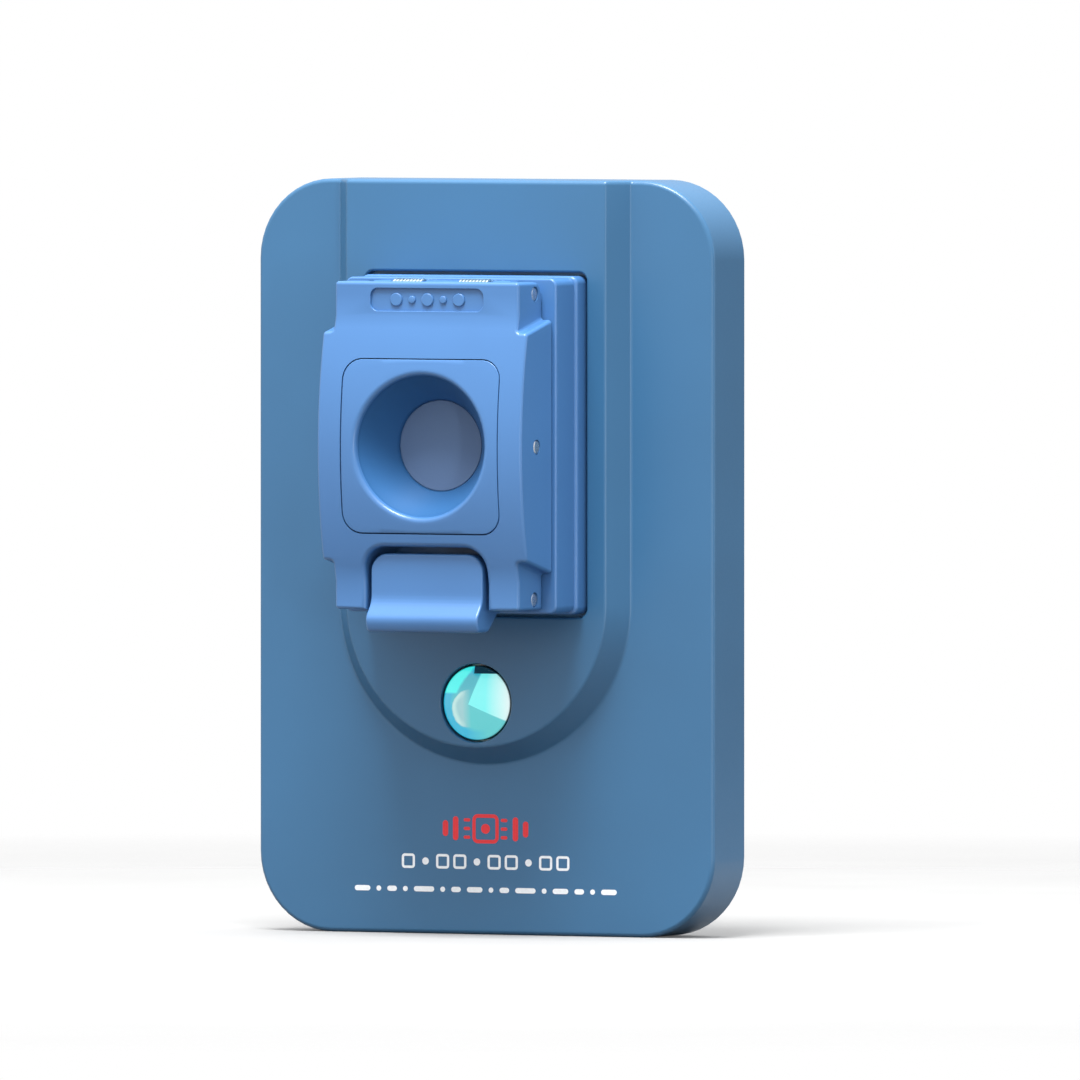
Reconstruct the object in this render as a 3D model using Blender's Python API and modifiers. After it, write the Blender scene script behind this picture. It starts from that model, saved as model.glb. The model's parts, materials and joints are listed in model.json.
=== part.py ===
"""A hand-held chip programmer: a flat box standing on its short end, with a clamshell test socket on it.

Metres, +Z up. The front of the box faces -Y, and X = 0 is its middle plane. The origin is the middle
of the bottom end face, halfway through the thickness of the box. "Height" above the pad means the
distance in front of the raised pad on which the socket sits.
"""

import math

import bmesh
import bpy
from mathutils import Matrix, Vector

OBJECT_NAME = "chip_programmer"

# Enclosure
BOX_WIDTH = 0.0760
BOX_HEIGHT = 0.1134
BOX_DEPTH = 0.0110
BOX_CORNER = 0.0120
BOX_FILLET = 0.0009
WALL = 0.0020
REAR_PLATE = 0.0020
FRONT_Y = -BOX_DEPTH / 2
REAR_Y = BOX_DEPTH / 2

# Raised pad: a U that runs off the top end of the box
PAD_RAISE = 0.0034
PAD_SLOPE = 0.0027
PAD_HALF_WIDTH = 0.0216
PAD_ARC_Z = 0.0499
PAD_TOP_Y = FRONT_Y - PAD_RAISE
PAD_INNER_HALF_WIDTH = 0.0218
PAD_STEPS = 5
PAD_ROOT = 0.0010

# Clearances, and how far helpers reach past what they cut
OVERSHOOT = 0.0020
GAP = 0.0003
RUNNING_GAP = 0.00008
PLAY = 0.0005

# Push button
BUTTON_Z = 0.0349
BUTTON_HOLE_RADIUS = 0.0059
BUTTON_RADIUS = 0.00562
BUTTON_FLANGE_RADIUS = 0.0065
BUTTON_RECESS = 0.0004
BUTTON_DOME = 0.0009
BUTTON_TRAVEL = 0.0005
BUTTON_FLANGE = 0.0008
BUTTON_STEM_RADIUS = 0.0016

# Circuit board
BOARD_THICKNESS = 0.0016
BOARD_FRONT_Y = 0.0002
BOARD_BACK_Y = BOARD_FRONT_Y + BOARD_THICKNESS
BOARD_MARGIN = 0.0005
CHIPS_BACK_Y = BOARD_FRONT_Y - GAP
CHIP_CHAMFER = 0.0002
CONTROLLER = ((0.0090, 0.0090, 0.0009), (-0.0080, 0.0190))
REGULATOR = ((0.0050, 0.0040, 0.0014), (0.0125, 0.0190))
LED = ((0.0016, 0.0030, 0.0009), (0.0042, BUTTON_Z))
SWITCH_HALF_WIDTH = 0.0022
SWITCH_HEIGHT = 0.0018
PLUNGER_RADIUS = 0.0011
PLUNGER_HEIGHT = 0.0007

# Port
USB_WIDTH = 0.00894
USB_HEIGHT = 0.0032
USB_LENGTH = 0.0075
USB_SHELL = 0.0003
USB_BACK_WALL = 0.0012
USB_SIDE_FLAT = 0.0001
USB_RECESS = 0.0005
USB_Y = CHIPS_BACK_Y - USB_HEIGHT / 2
TONGUE_HALF_WIDTH = 0.0033
TONGUE_HALF_THICKNESS = 0.00035
TONGUE_ROOT = 0.0006
TONGUE_SET_BACK = 0.0008

# Fasteners and feet
COVER_SCREW_X = 0.0305
COVER_SCREW_Z = (0.0075, BOX_HEIGHT - 0.0075)
FOOT_X = 0.0300
FOOT_Z = (0.0190, BOX_HEIGHT - 0.0190)
FOOT_RADIUS = 0.0040
FOOT_POCKET = 0.0006
FOOT_STAND = 0.0010
SCREW_RADIUS = 0.0010
SCREW_HEAD_RADIUS = 0.0022
SCREW_HEAD = 0.0012
SCREW_DRIVE_RADIUS = 0.0009
BOSS_RADIUS = 0.0030
CHAMFER = 0.0003

# Socket
SOCKET_Z = 0.0738
CUTOUT_WIDTH = 0.0369
CUTOUT_HEIGHT = 0.0527
CUTOUT_CORNER = 0.0015
CUTOUT_STEP = 0.0015
BASE_WIDTH = 0.0352
BASE_LENGTH = 0.0502
BASE_CORNER = 0.0012
BASE_HEIGHT = 0.0085
FLANGE_WIDTH = 0.0362
FLANGE_LENGTH = 0.0507
FLANGE_HEIGHT = 0.0024
FLANGE_DEPTH = 0.0012
FLANGE_FILLET = 0.00045
SOCKET_SCREW_X = 0.0148
SOCKET_SCREW_Z = 0.0205
SOCKET_SCREW_DEPTH = 0.0045

# Chip nest and contacts
RECESS_SIDE = 0.0280
RECESS_CORNER = 0.0010
RECESS_FLOOR = 0.0026
NEST_CORNER = 0.0007
INNER_CORNER = 0.0005
NEST_BACK = 0.0036
NEST_FRONT = 0.0072
NEST_TRAVEL = 0.0005
CHIP_WIDTH = 0.0140
CHIP_LENGTH = 0.0180
CHIP_PLAY = 0.0002
CHIP_SEAT = 0.0046
LEAD_IN = 0.0008
LEAD_IN_FLOOR = 0.0062
NEST_WINDOW_WIDTH = 0.0110
NEST_WINDOW_LENGTH = 0.0150
CONTACT_WIDTH = 0.0200
CONTACT_LENGTH = 0.0220
CONTACT_SHELF = 0.0022
PIN_COLUMNS = 6
PIN_ROWS = 8
PIN_STAND = 0.0003
PIN_INSET = 0.0005
NEST_SPRING_OFFSET = 0.0116
NEST_SPRING_RADIUS = 0.0010
NEST_SPRING_WIRE = 0.00013
NEST_SPRING_TURNS = 4
NEST_SPRING_STEPS = 8
NEST_SPRING_BACK = 0.0006
NEST_SPRING_SINK = 0.0005

# Lid
LID_WIDTH = 0.0340
LID_END_WIDTH = 0.0306
LID_TOP_Z = 0.0984
LID_BOTTOM_Z = 0.0493
LID_BACK = 0.0088
LID_FRONT = 0.01665
CROWN = 0.0027
CROWN_TOP_Z = 0.0933
CROWN_BOTTOM_Z = 0.0535
WING_TOP_Z = 0.0918
WING_BOTTOM_Z = 0.0557
WING_LEAN = 0.0016
LID_FILLET = 0.0006
NAME_POCKET_WIDTH = 0.0188
NAME_POCKET_HEIGHT = 0.0034
NAME_POCKET_CORNER = 0.0012
NAME_POCKET_DEPTH = 0.0004
NAME_POCKET_Z = 0.0957

# Hinge
PIN_RADIUS = 0.00105
PIN_CHAMFER = 0.00025
PIN_SINK = 0.0001
HINGE_Z = 0.0966
HINGE_HEIGHT = 0.0110
KNUCKLE_RADIUS = 0.0019
CENTRE_KNUCKLE = 0.0027
SIDE_KNUCKLE = (0.0085, 0.0114)
EAR_INNER_X = 0.0117
SPRING_SPAN = (0.0031, 0.0081)
SPRING_RADIUS = 0.0020
SPRING_WIRE = 0.00024
SPRING_TURNS = 9
SPRING_LEG = 0.0052

# Pusher
PUSHER_SIDE = 0.0260
PUSHER_CORNER = 0.0030
PUSHER_BACK = 0.0083
PUSHER_AXIS_HEIGHT = 0.0139
FUNNEL_RIM_RADIUS = 0.0114
FUNNEL_FLOOR_RADIUS = 0.0068
FUNNEL_FLOOR = 0.0118
FUNNEL_LIP = 0.0004
FUNNEL_CURVE = 1.25
PRESS_PAD_BACK = 0.0059
PRESS_PAD_PLAY = 0.0005
PRESS_BOSS_PLAY = 0.0001
PUSHER_PIN_INNER_X = 0.0104

# Latch
LATCH_Z = 0.0509
LATCH_HEIGHT = 0.0111
LATCH_HALF_WIDTH = 0.0092
LATCH_TOP_Z = 0.0577
LATCH_CORNER = 0.0027
LATCH_LIP_Z = 0.0460
LATCH_FLARE_Z = 0.0520
LATCH_LIP_STAND = 0.0019
LATCH_LIP_THICKNESS = 0.0038
LATCH_LIP_HEIGHT = 0.0022
LATCH_HEEL = 0.0004
LATCH_NECK = 0.0006
LATCH_PLATE = 0.0028
LATCH_BARREL = 0.0021
SLOT_HALF_WIDTH = 0.01035
SLOT_TOP_Z = 0.0588
SLOT_CORNER = 0.0040
HOOK_HALF_WIDTH = 0.0060
HOOK_REACH = 0.0041
HOOK_TOP_Z = 0.0503
HOOK_NOSE = 0.0007
HOOK_CHAMFER = 0.0006
LEDGE_Z = 0.0507
LEDGE_THICKNESS = 0.0018
NOTCH_FLOOR = 0.0034
UNDERCUT_RISE = 0.0013
LATCH_SPRING_WIRE = 0.00018
LATCH_SPRING_HALF_LENGTH = 0.0026
LATCH_SPRING_TURNS = 7
LATCH_SPRING_LEG = 0.0045
SPRING_ROOM_HALF_WIDTH = 0.0032
SPRING_ROOM_DEPTH = 0.0021

# Fineness of round work
ARC_STEPS = 6
ROUND_STEPS = 20
COIL_STEPS = 9
MERGE_DISTANCE = 1e-6
TURNED_MERGE = 1e-5
FLAT_ANGLE = math.radians(0.1)
SMOOTH_ANGLE = math.radians(30)


def y_at(height):
    """Y of a plane that stands the given height in front of the pad."""
    return PAD_TOP_Y - height


def reset_scene():
    for obj in list(bpy.data.objects):
        bpy.data.objects.remove(obj, do_unlink=True)


def new_collection(name):
    collection = bpy.data.collections.new(name)
    bpy.context.scene.collection.children.link(collection)
    return collection


def new_material(name, color, roughness, metallic=0.0, transmission=0.0):
    material = bpy.data.materials.new(name)
    material.use_nodes = True
    shader = material.node_tree.nodes["Principled BSDF"]
    shader.inputs["Base Color"].default_value = (*color, 1.0)
    shader.inputs["Roughness"].default_value = roughness
    shader.inputs["Metallic"].default_value = metallic
    shader.inputs["Transmission Weight"].default_value = transmission
    material.diffuse_color = (*color, 1.0)
    return material


# Outlines


def arc(centre, radius, start, end, steps):
    """Points on an arc, angles in degrees, both ends included."""
    points = []
    for step in range(steps + 1):
        angle = math.radians(start + (end - start) * step / steps)
        points.append((centre[0] + radius * math.cos(angle), centre[1] + radius * math.sin(angle)))
    return points


def rounded_rectangle(width, height, radius, centre=(0.0, 0.0), steps=ARC_STEPS):
    points = []
    for quarter, (side_x, side_z) in enumerate(((1, 1), (-1, 1), (-1, -1), (1, -1))):
        corner = (
            centre[0] + side_x * (width / 2 - radius),
            centre[1] + side_z * (height / 2 - radius),
        )
        points += arc(corner, radius, 90 * quarter, 90 * quarter + 90, steps)
    return points


def u_outline(half_width, top_z):
    """The raised pad seen from the front: straight sides closed by a half circle at the bottom."""
    points = arc((0.0, PAD_ARC_Z), half_width, 180, 360, 4 * ARC_STEPS)
    return points + [(half_width, top_z), (-half_width, top_z)]


def crown_height(z):
    """Height of the lid's front surface, flat at both ends and bowed between them."""
    middle = (CROWN_TOP_Z + CROWN_BOTTOM_Z) / 2
    along = (z - middle) / ((CROWN_TOP_Z - CROWN_BOTTOM_Z) / 2)
    return LID_FRONT + CROWN * max(0.0, 1.0 - along * along)


# Solids


def add_object(name, mesh, collection):
    obj = bpy.data.objects.new(name, mesh)
    collection.objects.link(obj)
    return obj


def add_from_bmesh(name, bm, collection):
    bmesh.ops.recalc_face_normals(bm, faces=bm.faces)
    mesh = bpy.data.meshes.new(name)
    bm.to_mesh(mesh)
    bm.free()
    return add_object(name, mesh, collection)


PLANE_OF_AXIS = {
    "X": Matrix(((0, 0, 1, 0), (1, 0, 0, 0), (0, 1, 0, 0), (0, 0, 0, 1))),
    "Y": Matrix(((1, 0, 0, 0), (0, 0, -1, 0), (0, 1, 0, 0), (0, 0, 0, 1))),
    "Z": Matrix.Identity(4),
}


def prism(name, outline, start, end, collection, axis="Y"):
    """The solid that a flat outline sweeps between two planes across an axis."""
    curve = bpy.data.curves.new(name, "CURVE")
    curve.dimensions = "2D"
    curve.fill_mode = "BOTH"
    curve.extrude = abs(end - start) / 2
    spline = curve.splines.new("POLY")
    spline.points.add(len(outline) - 1)
    for point, (across, up) in zip(spline.points, outline):
        point.co = (across, up, 0.0, 1.0)
    spline.use_cyclic_u = True
    source = add_object(name + "_outline", curve, collection)
    depsgraph = bpy.context.evaluated_depsgraph_get()
    mesh = bpy.data.meshes.new_from_object(source.evaluated_get(depsgraph))
    bpy.data.objects.remove(source, do_unlink=True)
    bpy.data.curves.remove(curve)
    bm = bmesh.new()
    bm.from_mesh(mesh)
    bpy.data.meshes.remove(mesh)
    bmesh.ops.remove_doubles(bm, verts=bm.verts, dist=MERGE_DISTANCE)
    bmesh.ops.dissolve_limit(bm, angle_limit=FLAT_ANGLE, verts=bm.verts, edges=bm.edges)
    shift = Vector((0, 0, 0))
    shift["XYZ".index(axis)] = (start + end) / 2
    bmesh.ops.transform(bm, matrix=Matrix.Translation(shift) @ PLANE_OF_AXIS[axis], verts=bm.verts)
    return add_from_bmesh(name, bm, collection)


def block(name, low, high, collection):
    bm = bmesh.new()
    bmesh.ops.create_cube(bm, size=1.0)
    size = [abs(b - a) for a, b in zip(low, high)]
    middle = [(a + b) / 2 for a, b in zip(low, high)]
    bmesh.ops.scale(bm, vec=size, verts=bm.verts)
    bmesh.ops.translate(bm, vec=middle, verts=bm.verts)
    return add_from_bmesh(name, bm, collection)


AXIS_TURN = {
    "X": Matrix.Rotation(math.radians(90), 4, "Y"),
    "Y": Matrix.Rotation(math.radians(-90), 4, "X"),
    "Z": Matrix.Identity(4),
}


def cylinder(name, radius, centre, start, end, collection, axis="Y", steps=ROUND_STEPS):
    """A cylinder between two planes across an axis. centre holds the other two coordinates."""
    middle = list(centre)
    middle.insert("XYZ".index(axis), (start + end) / 2)
    bm = bmesh.new()
    bmesh.ops.create_cone(
        bm,
        cap_ends=True,
        segments=steps,
        radius1=radius,
        radius2=radius,
        depth=abs(end - start),
        matrix=Matrix.Translation(middle) @ AXIS_TURN[axis],
    )
    return add_from_bmesh(name, bm, collection)


def turned(name, profile, location, collection, steps=2 * ROUND_STEPS):
    """A body turned about the line towards -Y through location. profile lists (radius, height)."""
    bm = bmesh.new()
    points = [bm.verts.new((radius, 0.0, height)) for radius, height in profile]
    for first, second in zip(points, points[1:]):
        bm.edges.new((first, second))
    mesh = bpy.data.meshes.new(name)
    bm.to_mesh(mesh)
    bm.free()
    obj = add_object(name, mesh, collection)
    obj.location = location
    obj.rotation_euler = (math.radians(90), 0.0, 0.0)
    screw = obj.modifiers.new("turn", "SCREW")
    screw.steps = steps
    screw.render_steps = steps
    screw.use_merge_vertices = True
    screw.merge_threshold = TURNED_MERGE
    screw.use_smooth_shade = True
    return obj


def wire(name, points, radius, collection):
    """A wire of round section through points, with closed ends."""
    curve = bpy.data.curves.new(name, "CURVE")
    curve.dimensions = "3D"
    curve.bevel_depth = radius
    curve.bevel_resolution = 0
    curve.use_fill_caps = True
    spline = curve.splines.new("POLY")
    spline.points.add(len(points) - 1)
    for point, place in zip(spline.points, points):
        point.co = (*place, 1.0)
    return add_object(name, curve, collection)


def round_edges(obj, radius, picks, steps=2):
    """Round the edges that picks() accepts, by the two end points of an edge."""
    bm = bmesh.new()
    bm.from_mesh(obj.data)
    edges = [edge for edge in bm.edges if picks(edge.verts[0].co, edge.verts[1].co)]
    bmesh.ops.bevel(
        bm, geom=edges, offset=radius, offset_type="OFFSET", segments=steps, profile=0.5, affect="EDGES"
    )
    bm.to_mesh(obj.data)
    bm.free()


def on_plane(axis, value):
    """Accepts edges that lie on a plane across an axis."""
    index = "XYZ".index(axis)
    return lambda a, b: max(abs(a[index] - value), abs(b[index] - value)) < MERGE_DISTANCE


def combine(target, tool, operation):
    """Cut, join or intersect target with tool, which becomes a hidden helper."""
    tool.hide_render = True
    tool.display_type = "WIRE"
    modifier = target.modifiers.new(tool.name, "BOOLEAN")
    modifier.operation = operation
    modifier.solver = "EXACT"
    modifier.object = tool


def cut(target, tool):
    combine(target, tool, "DIFFERENCE")


def join(target, tool):
    combine(target, tool, "UNION")


def intersect(target, tool):
    combine(target, tool, "INTERSECT")


def finish(obj, material):
    """Give a piece its material and smooth its round faces."""
    obj.data.materials.append(material)
    if obj.type == "MESH" and obj.data.polygons:
        obj.data.shade_smooth()
        obj.data.set_sharp_from_angle(angle=SMOOTH_ANGLE)
    return obj


def hold(pieces, name, location, collection):
    """Parent moving pieces to an empty that stands on their joint's axis."""
    holder = bpy.data.objects.new(name, None)
    holder.empty_display_size = 0.01
    holder.location = location
    collection.objects.link(holder)
    bpy.context.view_layer.update()
    for piece in pieces:
        piece.parent = holder
        piece.matrix_parent_inverse = holder.matrix_world.inverted()
    return holder


# Enclosure


def box_outline(offset=0.0):
    return rounded_rectangle(
        BOX_WIDTH - 2 * offset,
        BOX_HEIGHT - 2 * offset,
        BOX_CORNER - offset,
        (0.0, BOX_HEIGHT / 2),
    )


def pad_body(tools):
    """The raised U, lofted up from the front face by stepped insets along a smooth slope."""
    outline = u_outline(PAD_HALF_WIDTH + PAD_SLOPE, BOX_HEIGHT + PAD_SLOPE + OVERSHOOT)
    pad = prism("pad_body", outline, FRONT_Y + PAD_ROOT, FRONT_Y, tools)
    bm = bmesh.new()
    bm.from_mesh(pad.data)
    top = min(bm.faces, key=lambda face: face.calc_center_median().y)
    raised = 0.0
    for step in range(1, PAD_STEPS + 1):
        along = step / PAD_STEPS
        level = PAD_RAISE * along * along * (3 - 2 * along)
        bmesh.ops.inset_region(
            bm,
            faces=[top],
            thickness=PAD_SLOPE / PAD_STEPS,
            depth=level - raised,
            use_even_offset=True,
            use_boundary=True,
        )
        raised = level
    bm.to_mesh(pad.data)
    bm.free()
    half = BOX_WIDTH / 2
    trim = block("pad_trim", (-half, -half, 0.0), (half, half, BOX_HEIGHT), tools)
    intersect(pad, trim)
    return pad


def front_cover(parts, tools, material):
    cover = prism("front_cover", box_outline(), FRONT_Y, REAR_Y, parts)
    round_edges(cover, BOX_FILLET, on_plane("Y", FRONT_Y))
    join(cover, pad_body(tools))
    inner_y = FRONT_Y + WALL
    cut(cover, prism("hollow", box_outline(WALL), inner_y, REAR_Y + OVERSHOOT, tools))
    pad_hollow = u_outline(PAD_INNER_HALF_WIDTH, BOX_HEIGHT - WALL)
    cut(cover, prism("pad_hollow", pad_hollow, PAD_TOP_Y + WALL, inner_y + OVERSHOOT, tools))
    above_pad = PAD_TOP_Y - OVERSHOOT
    place = (0.0, SOCKET_Z)
    wide = rounded_rectangle(CUTOUT_WIDTH, CUTOUT_HEIGHT, CUTOUT_CORNER, place, 3)
    cut(cover, prism("socket_recess", wide, above_pad, PAD_TOP_Y + CUTOUT_STEP, tools))
    narrow = rounded_rectangle(BASE_WIDTH + 2 * GAP, BASE_LENGTH + 2 * GAP, BASE_CORNER, place, 3)
    cut(cover, prism("socket_hole", narrow, above_pad, inner_y, tools))
    place = (0.0, BUTTON_Z)
    cut(cover, cylinder("button_hole", BUTTON_HOLE_RADIUS, place, above_pad, inner_y, tools, steps=28))
    port = rounded_rectangle(
        USB_WIDTH + 2 * GAP, USB_HEIGHT + 2 * GAP, USB_HEIGHT / 2, (0.0, USB_Y)
    )
    cut(cover, prism("port_hole", port, BOX_HEIGHT - 2 * WALL, BOX_HEIGHT + OVERSHOOT, tools, "Z"))
    for side in (-1, 1):
        for level, z in enumerate(COVER_SCREW_Z):
            place = (side * COVER_SCREW_X, z)
            name = f"cover_boss_{level}_{side + 1}"
            root_y = inner_y - WALL / 2
            join(cover, cylinder(name, BOSS_RADIUS, place, root_y, BOARD_FRONT_Y - GAP, tools))
            cut(cover, cylinder(
                name + "_hole", SCREW_RADIUS + GAP, place, inner_y, BOARD_BACK_Y, tools, steps=10
            ))
    return finish(cover, material)


def rear_cover(parts, tools, material):
    inner_y = REAR_Y - REAR_PLATE
    cover = prism("rear_cover", box_outline(WALL + GAP), inner_y, REAR_Y, parts)
    for side in (-1, 1):
        for level, z in enumerate(COVER_SCREW_Z):
            place = (side * COVER_SCREW_X, z)
            name = f"rear_boss_{level}_{side + 1}"
            boss_y = BOARD_BACK_Y + GAP
            join(cover, cylinder(name, BOSS_RADIUS, place, boss_y, inner_y + GAP, tools))
            cut(cover, cylinder(
                name + "_hole", SCREW_RADIUS + GAP, place, BOARD_BACK_Y, REAR_Y + GAP, tools, steps=10
            ))
            seat_y = REAR_Y - SCREW_HEAD - 2 * GAP
            cut(cover, cylinder(
                name + "_seat", SCREW_HEAD_RADIUS + GAP, place, seat_y, REAR_Y + GAP, tools
            ))
        for level, z in enumerate(FOOT_Z):
            cut(cover, cylinder(
                f"foot_pocket_{level}_{side + 1}",
                FOOT_RADIUS + GAP,
                (side * FOOT_X, z),
                REAR_Y - FOOT_POCKET - GAP,
                REAR_Y + GAP,
                tools,
            ))
    return finish(cover, material)


def screw_mesh(length, tools):
    """A cap screw along Y with its head towards +Y, the underside of the head at Y = 0."""
    body = cylinder("screw_body", SCREW_HEAD_RADIUS, (0.0, 0.0), 0.0, SCREW_HEAD, tools, steps=12)
    round_edges(body, CHAMFER, on_plane("Y", SCREW_HEAD), 1)
    shank = cylinder("screw_shank", SCREW_RADIUS, (0.0, 0.0), -length, SCREW_HEAD / 3, tools, steps=8)
    drive = cylinder(
        "screw_drive", SCREW_DRIVE_RADIUS, (0.0, 0.0), SCREW_HEAD / 2, 2 * SCREW_HEAD, tools, steps=6
    )
    join(body, shank)
    cut(body, drive)
    depsgraph = bpy.context.evaluated_depsgraph_get()
    mesh = bpy.data.meshes.new_from_object(body.evaluated_get(depsgraph))
    for helper in (body, shank, drive):
        bpy.data.objects.remove(helper, do_unlink=True)
    return mesh


def cover_screws(parts, tools, material):
    seat_y = REAR_Y - SCREW_HEAD - GAP
    mesh = screw_mesh(seat_y - (FRONT_Y + WALL) - 2 * GAP, tools)
    number = 0
    for z in COVER_SCREW_Z:
        for side in (-1, 1):
            number += 1
            screw = add_object(f"cover_screw_{number}", mesh, parts)
            screw.location = (side * COVER_SCREW_X, seat_y, z)
    finish(screw, material)


def rubber_feet(parts, material):
    number = 0
    mesh = None
    for z in FOOT_Z:
        for side in (-1, 1):
            number += 1
            name = f"rubber_foot_{number}"
            if mesh is None:
                foot = cylinder(
                    name, FOOT_RADIUS, (0.0, 0.0), -FOOT_POCKET, FOOT_STAND, parts
                )
                round_edges(foot, CHAMFER, on_plane("Y", FOOT_STAND), 1)
                mesh = finish(foot, material).data
            else:
                foot = add_object(name, mesh, parts)
            foot.location = (side * FOOT_X, REAR_Y, z)


# Board and what sits on it

def main_board(parts, tools, material):
    outline = box_outline(WALL + BOARD_MARGIN)
    board = prism("main_board", outline, BOARD_FRONT_Y, BOARD_BACK_Y, parts)
    places = [(COVER_SCREW_X, z) for z in COVER_SCREW_Z]
    places += [(SOCKET_SCREW_X, SOCKET_Z + level * SOCKET_SCREW_Z) for level in (-1, 1)]
    for number, (x, z) in enumerate(places):
        for side in (-1, 1):
            cut(board, cylinder(
                f"board_hole_{number}_{side + 1}",
                SCREW_RADIUS + GAP,
                (side * x, z),
                BOARD_FRONT_Y - GAP,
                BOARD_BACK_Y + GAP,
                tools,
                steps=10,
            ))
    return finish(board, material)


def usb_c_receptacle(parts, tools, material):
    """A shell open at the top end, with a tongue standing in it."""
    mouth_z = BOX_HEIGHT - USB_RECESS
    back_z = mouth_z - USB_LENGTH
    outline = rounded_rectangle(USB_WIDTH, USB_HEIGHT, USB_HEIGHT / 2 - USB_SIDE_FLAT, (0.0, USB_Y))
    shell = prism("usb_c_receptacle", outline, back_z, mouth_z, parts, "Z")
    bore = rounded_rectangle(
        USB_WIDTH - 2 * USB_SHELL,
        USB_HEIGHT - 2 * USB_SHELL,
        USB_HEIGHT / 2 - USB_SHELL - USB_SIDE_FLAT,
        (0.0, USB_Y),
    )
    cut(shell, prism("usb_bore", bore, back_z + USB_BACK_WALL, mouth_z + GAP, tools, "Z"))
    join(shell, block(
        "usb_tongue",
        (-TONGUE_HALF_WIDTH, USB_Y - TONGUE_HALF_THICKNESS, back_z + TONGUE_ROOT),
        (TONGUE_HALF_WIDTH, USB_Y + TONGUE_HALF_THICKNESS, mouth_z - TONGUE_SET_BACK),
        tools,
    ))
    return finish(shell, material)


def board_chip(name, package, parts, material):
    """A moulded package lying on the front of the board."""
    size, centre = package
    top_y = CHIPS_BACK_Y - size[2]
    chip = block(
        name,
        (centre[0] - size[0] / 2, top_y, centre[1] - size[1] / 2),
        (centre[0] + size[0] / 2, CHIPS_BACK_Y, centre[1] + size[1] / 2),
        parts,
    )
    round_edges(chip, CHIP_CHAMFER, on_plane("Y", top_y), 1)
    return finish(chip, material)


def button_switch(parts, tools, material):
    half = SWITCH_HALF_WIDTH
    top_y = CHIPS_BACK_Y - SWITCH_HEIGHT
    plunger_y = top_y - PLUNGER_HEIGHT
    switch = block(
        "button_switch",
        (-half, top_y, BUTTON_Z - half),
        (half, CHIPS_BACK_Y, BUTTON_Z + half),
        parts,
    )
    round_edges(switch, CHAMFER, on_plane("Y", top_y), 1)
    join(switch, cylinder(
        "switch_plunger", PLUNGER_RADIUS, (0.0, BUTTON_Z), plunger_y, top_y + GAP, tools, steps=16
    ))
    return finish(switch, material)


def button_cap(parts, material):
    """A clear domed cap with a hidden flange that keeps it behind the pad."""
    rim = -BUTTON_RECESS
    flange_front = -WALL - GAP
    flange_back = flange_front - BUTTON_FLANGE
    plunger_y = CHIPS_BACK_Y - SWITCH_HEIGHT - PLUNGER_HEIGHT
    stem_back = PAD_TOP_Y - (plunger_y - BUTTON_TRAVEL - GAP)
    sphere_radius = (BUTTON_RADIUS ** 2 + BUTTON_DOME ** 2) / (2 * BUTTON_DOME)
    edge_angle = math.asin(BUTTON_RADIUS / sphere_radius)
    profile = []
    for step in range(ARC_STEPS + 1):
        angle = edge_angle * step / ARC_STEPS
        height = rim + BUTTON_DOME - sphere_radius * (1 - math.cos(angle))
        profile.append((sphere_radius * math.sin(angle), height))
    profile += [
        (BUTTON_RADIUS, flange_front),
        (BUTTON_FLANGE_RADIUS, flange_front),
        (BUTTON_FLANGE_RADIUS, flange_back),
        (BUTTON_STEM_RADIUS, flange_back),
        (BUTTON_STEM_RADIUS, stem_back),
        (0.0, stem_back),
    ]
    cap = turned("button_cap", profile, (0.0, PAD_TOP_Y, BUTTON_Z), parts, 28)
    return finish(cap, material)


# Socket base


def socket_base(parts, tools, material):
    bottom_y = CHIPS_BACK_Y
    outline = rounded_rectangle(BASE_WIDTH, BASE_LENGTH, BASE_CORNER, (0.0, SOCKET_Z), 3)
    base = prism("socket_base", outline, y_at(BASE_HEIGHT), bottom_y, parts)
    round_edges(base, CHAMFER, on_plane("Y", y_at(BASE_HEIGHT)), 1)
    outline = rounded_rectangle(FLANGE_WIDTH, FLANGE_LENGTH, BASE_CORNER, (0.0, SOCKET_Z), 3)
    flange = prism("base_flange", outline, y_at(FLANGE_HEIGHT), y_at(-FLANGE_DEPTH), tools)
    round_edges(flange, FLANGE_FILLET, on_plane("Y", y_at(FLANGE_HEIGHT)))
    join(base, flange)
    recess = rounded_rectangle(RECESS_SIDE, RECESS_SIDE, RECESS_CORNER, (0.0, SOCKET_Z), 2)
    cut(base, prism("nest_recess", recess, y_at(BASE_HEIGHT + OVERSHOOT), y_at(RECESS_FLOOR), tools))
    window = rounded_rectangle(
        CONTACT_WIDTH + 2 * GAP, CONTACT_LENGTH + 2 * GAP, INNER_CORNER, (0.0, SOCKET_Z), 2
    )
    window_y = y_at(RECESS_FLOOR + OVERSHOOT)
    cut(base, prism("contact_window", window, window_y, bottom_y + OVERSHOOT, tools))
    cut_base_screw_holes(base, tools, bottom_y)
    cut_nest_spring_pockets(base, tools)
    cut_latch_catch(base, tools)
    join_hinge_knuckles(base, tools)
    return finish(base, material)


def cut_base_screw_holes(base, tools, bottom_y):
    for side in (-1, 1):
        for level in (-1, 1):
            cut(base, cylinder(
                f"socket_screw_hole_{side + 1}_{level + 1}",
                SCREW_RADIUS + GAP,
                (side * SOCKET_SCREW_X, SOCKET_Z + level * SOCKET_SCREW_Z),
                bottom_y - SOCKET_SCREW_DEPTH - GAP,
                bottom_y + GAP,
                tools,
                steps=10,
            ))


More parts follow.
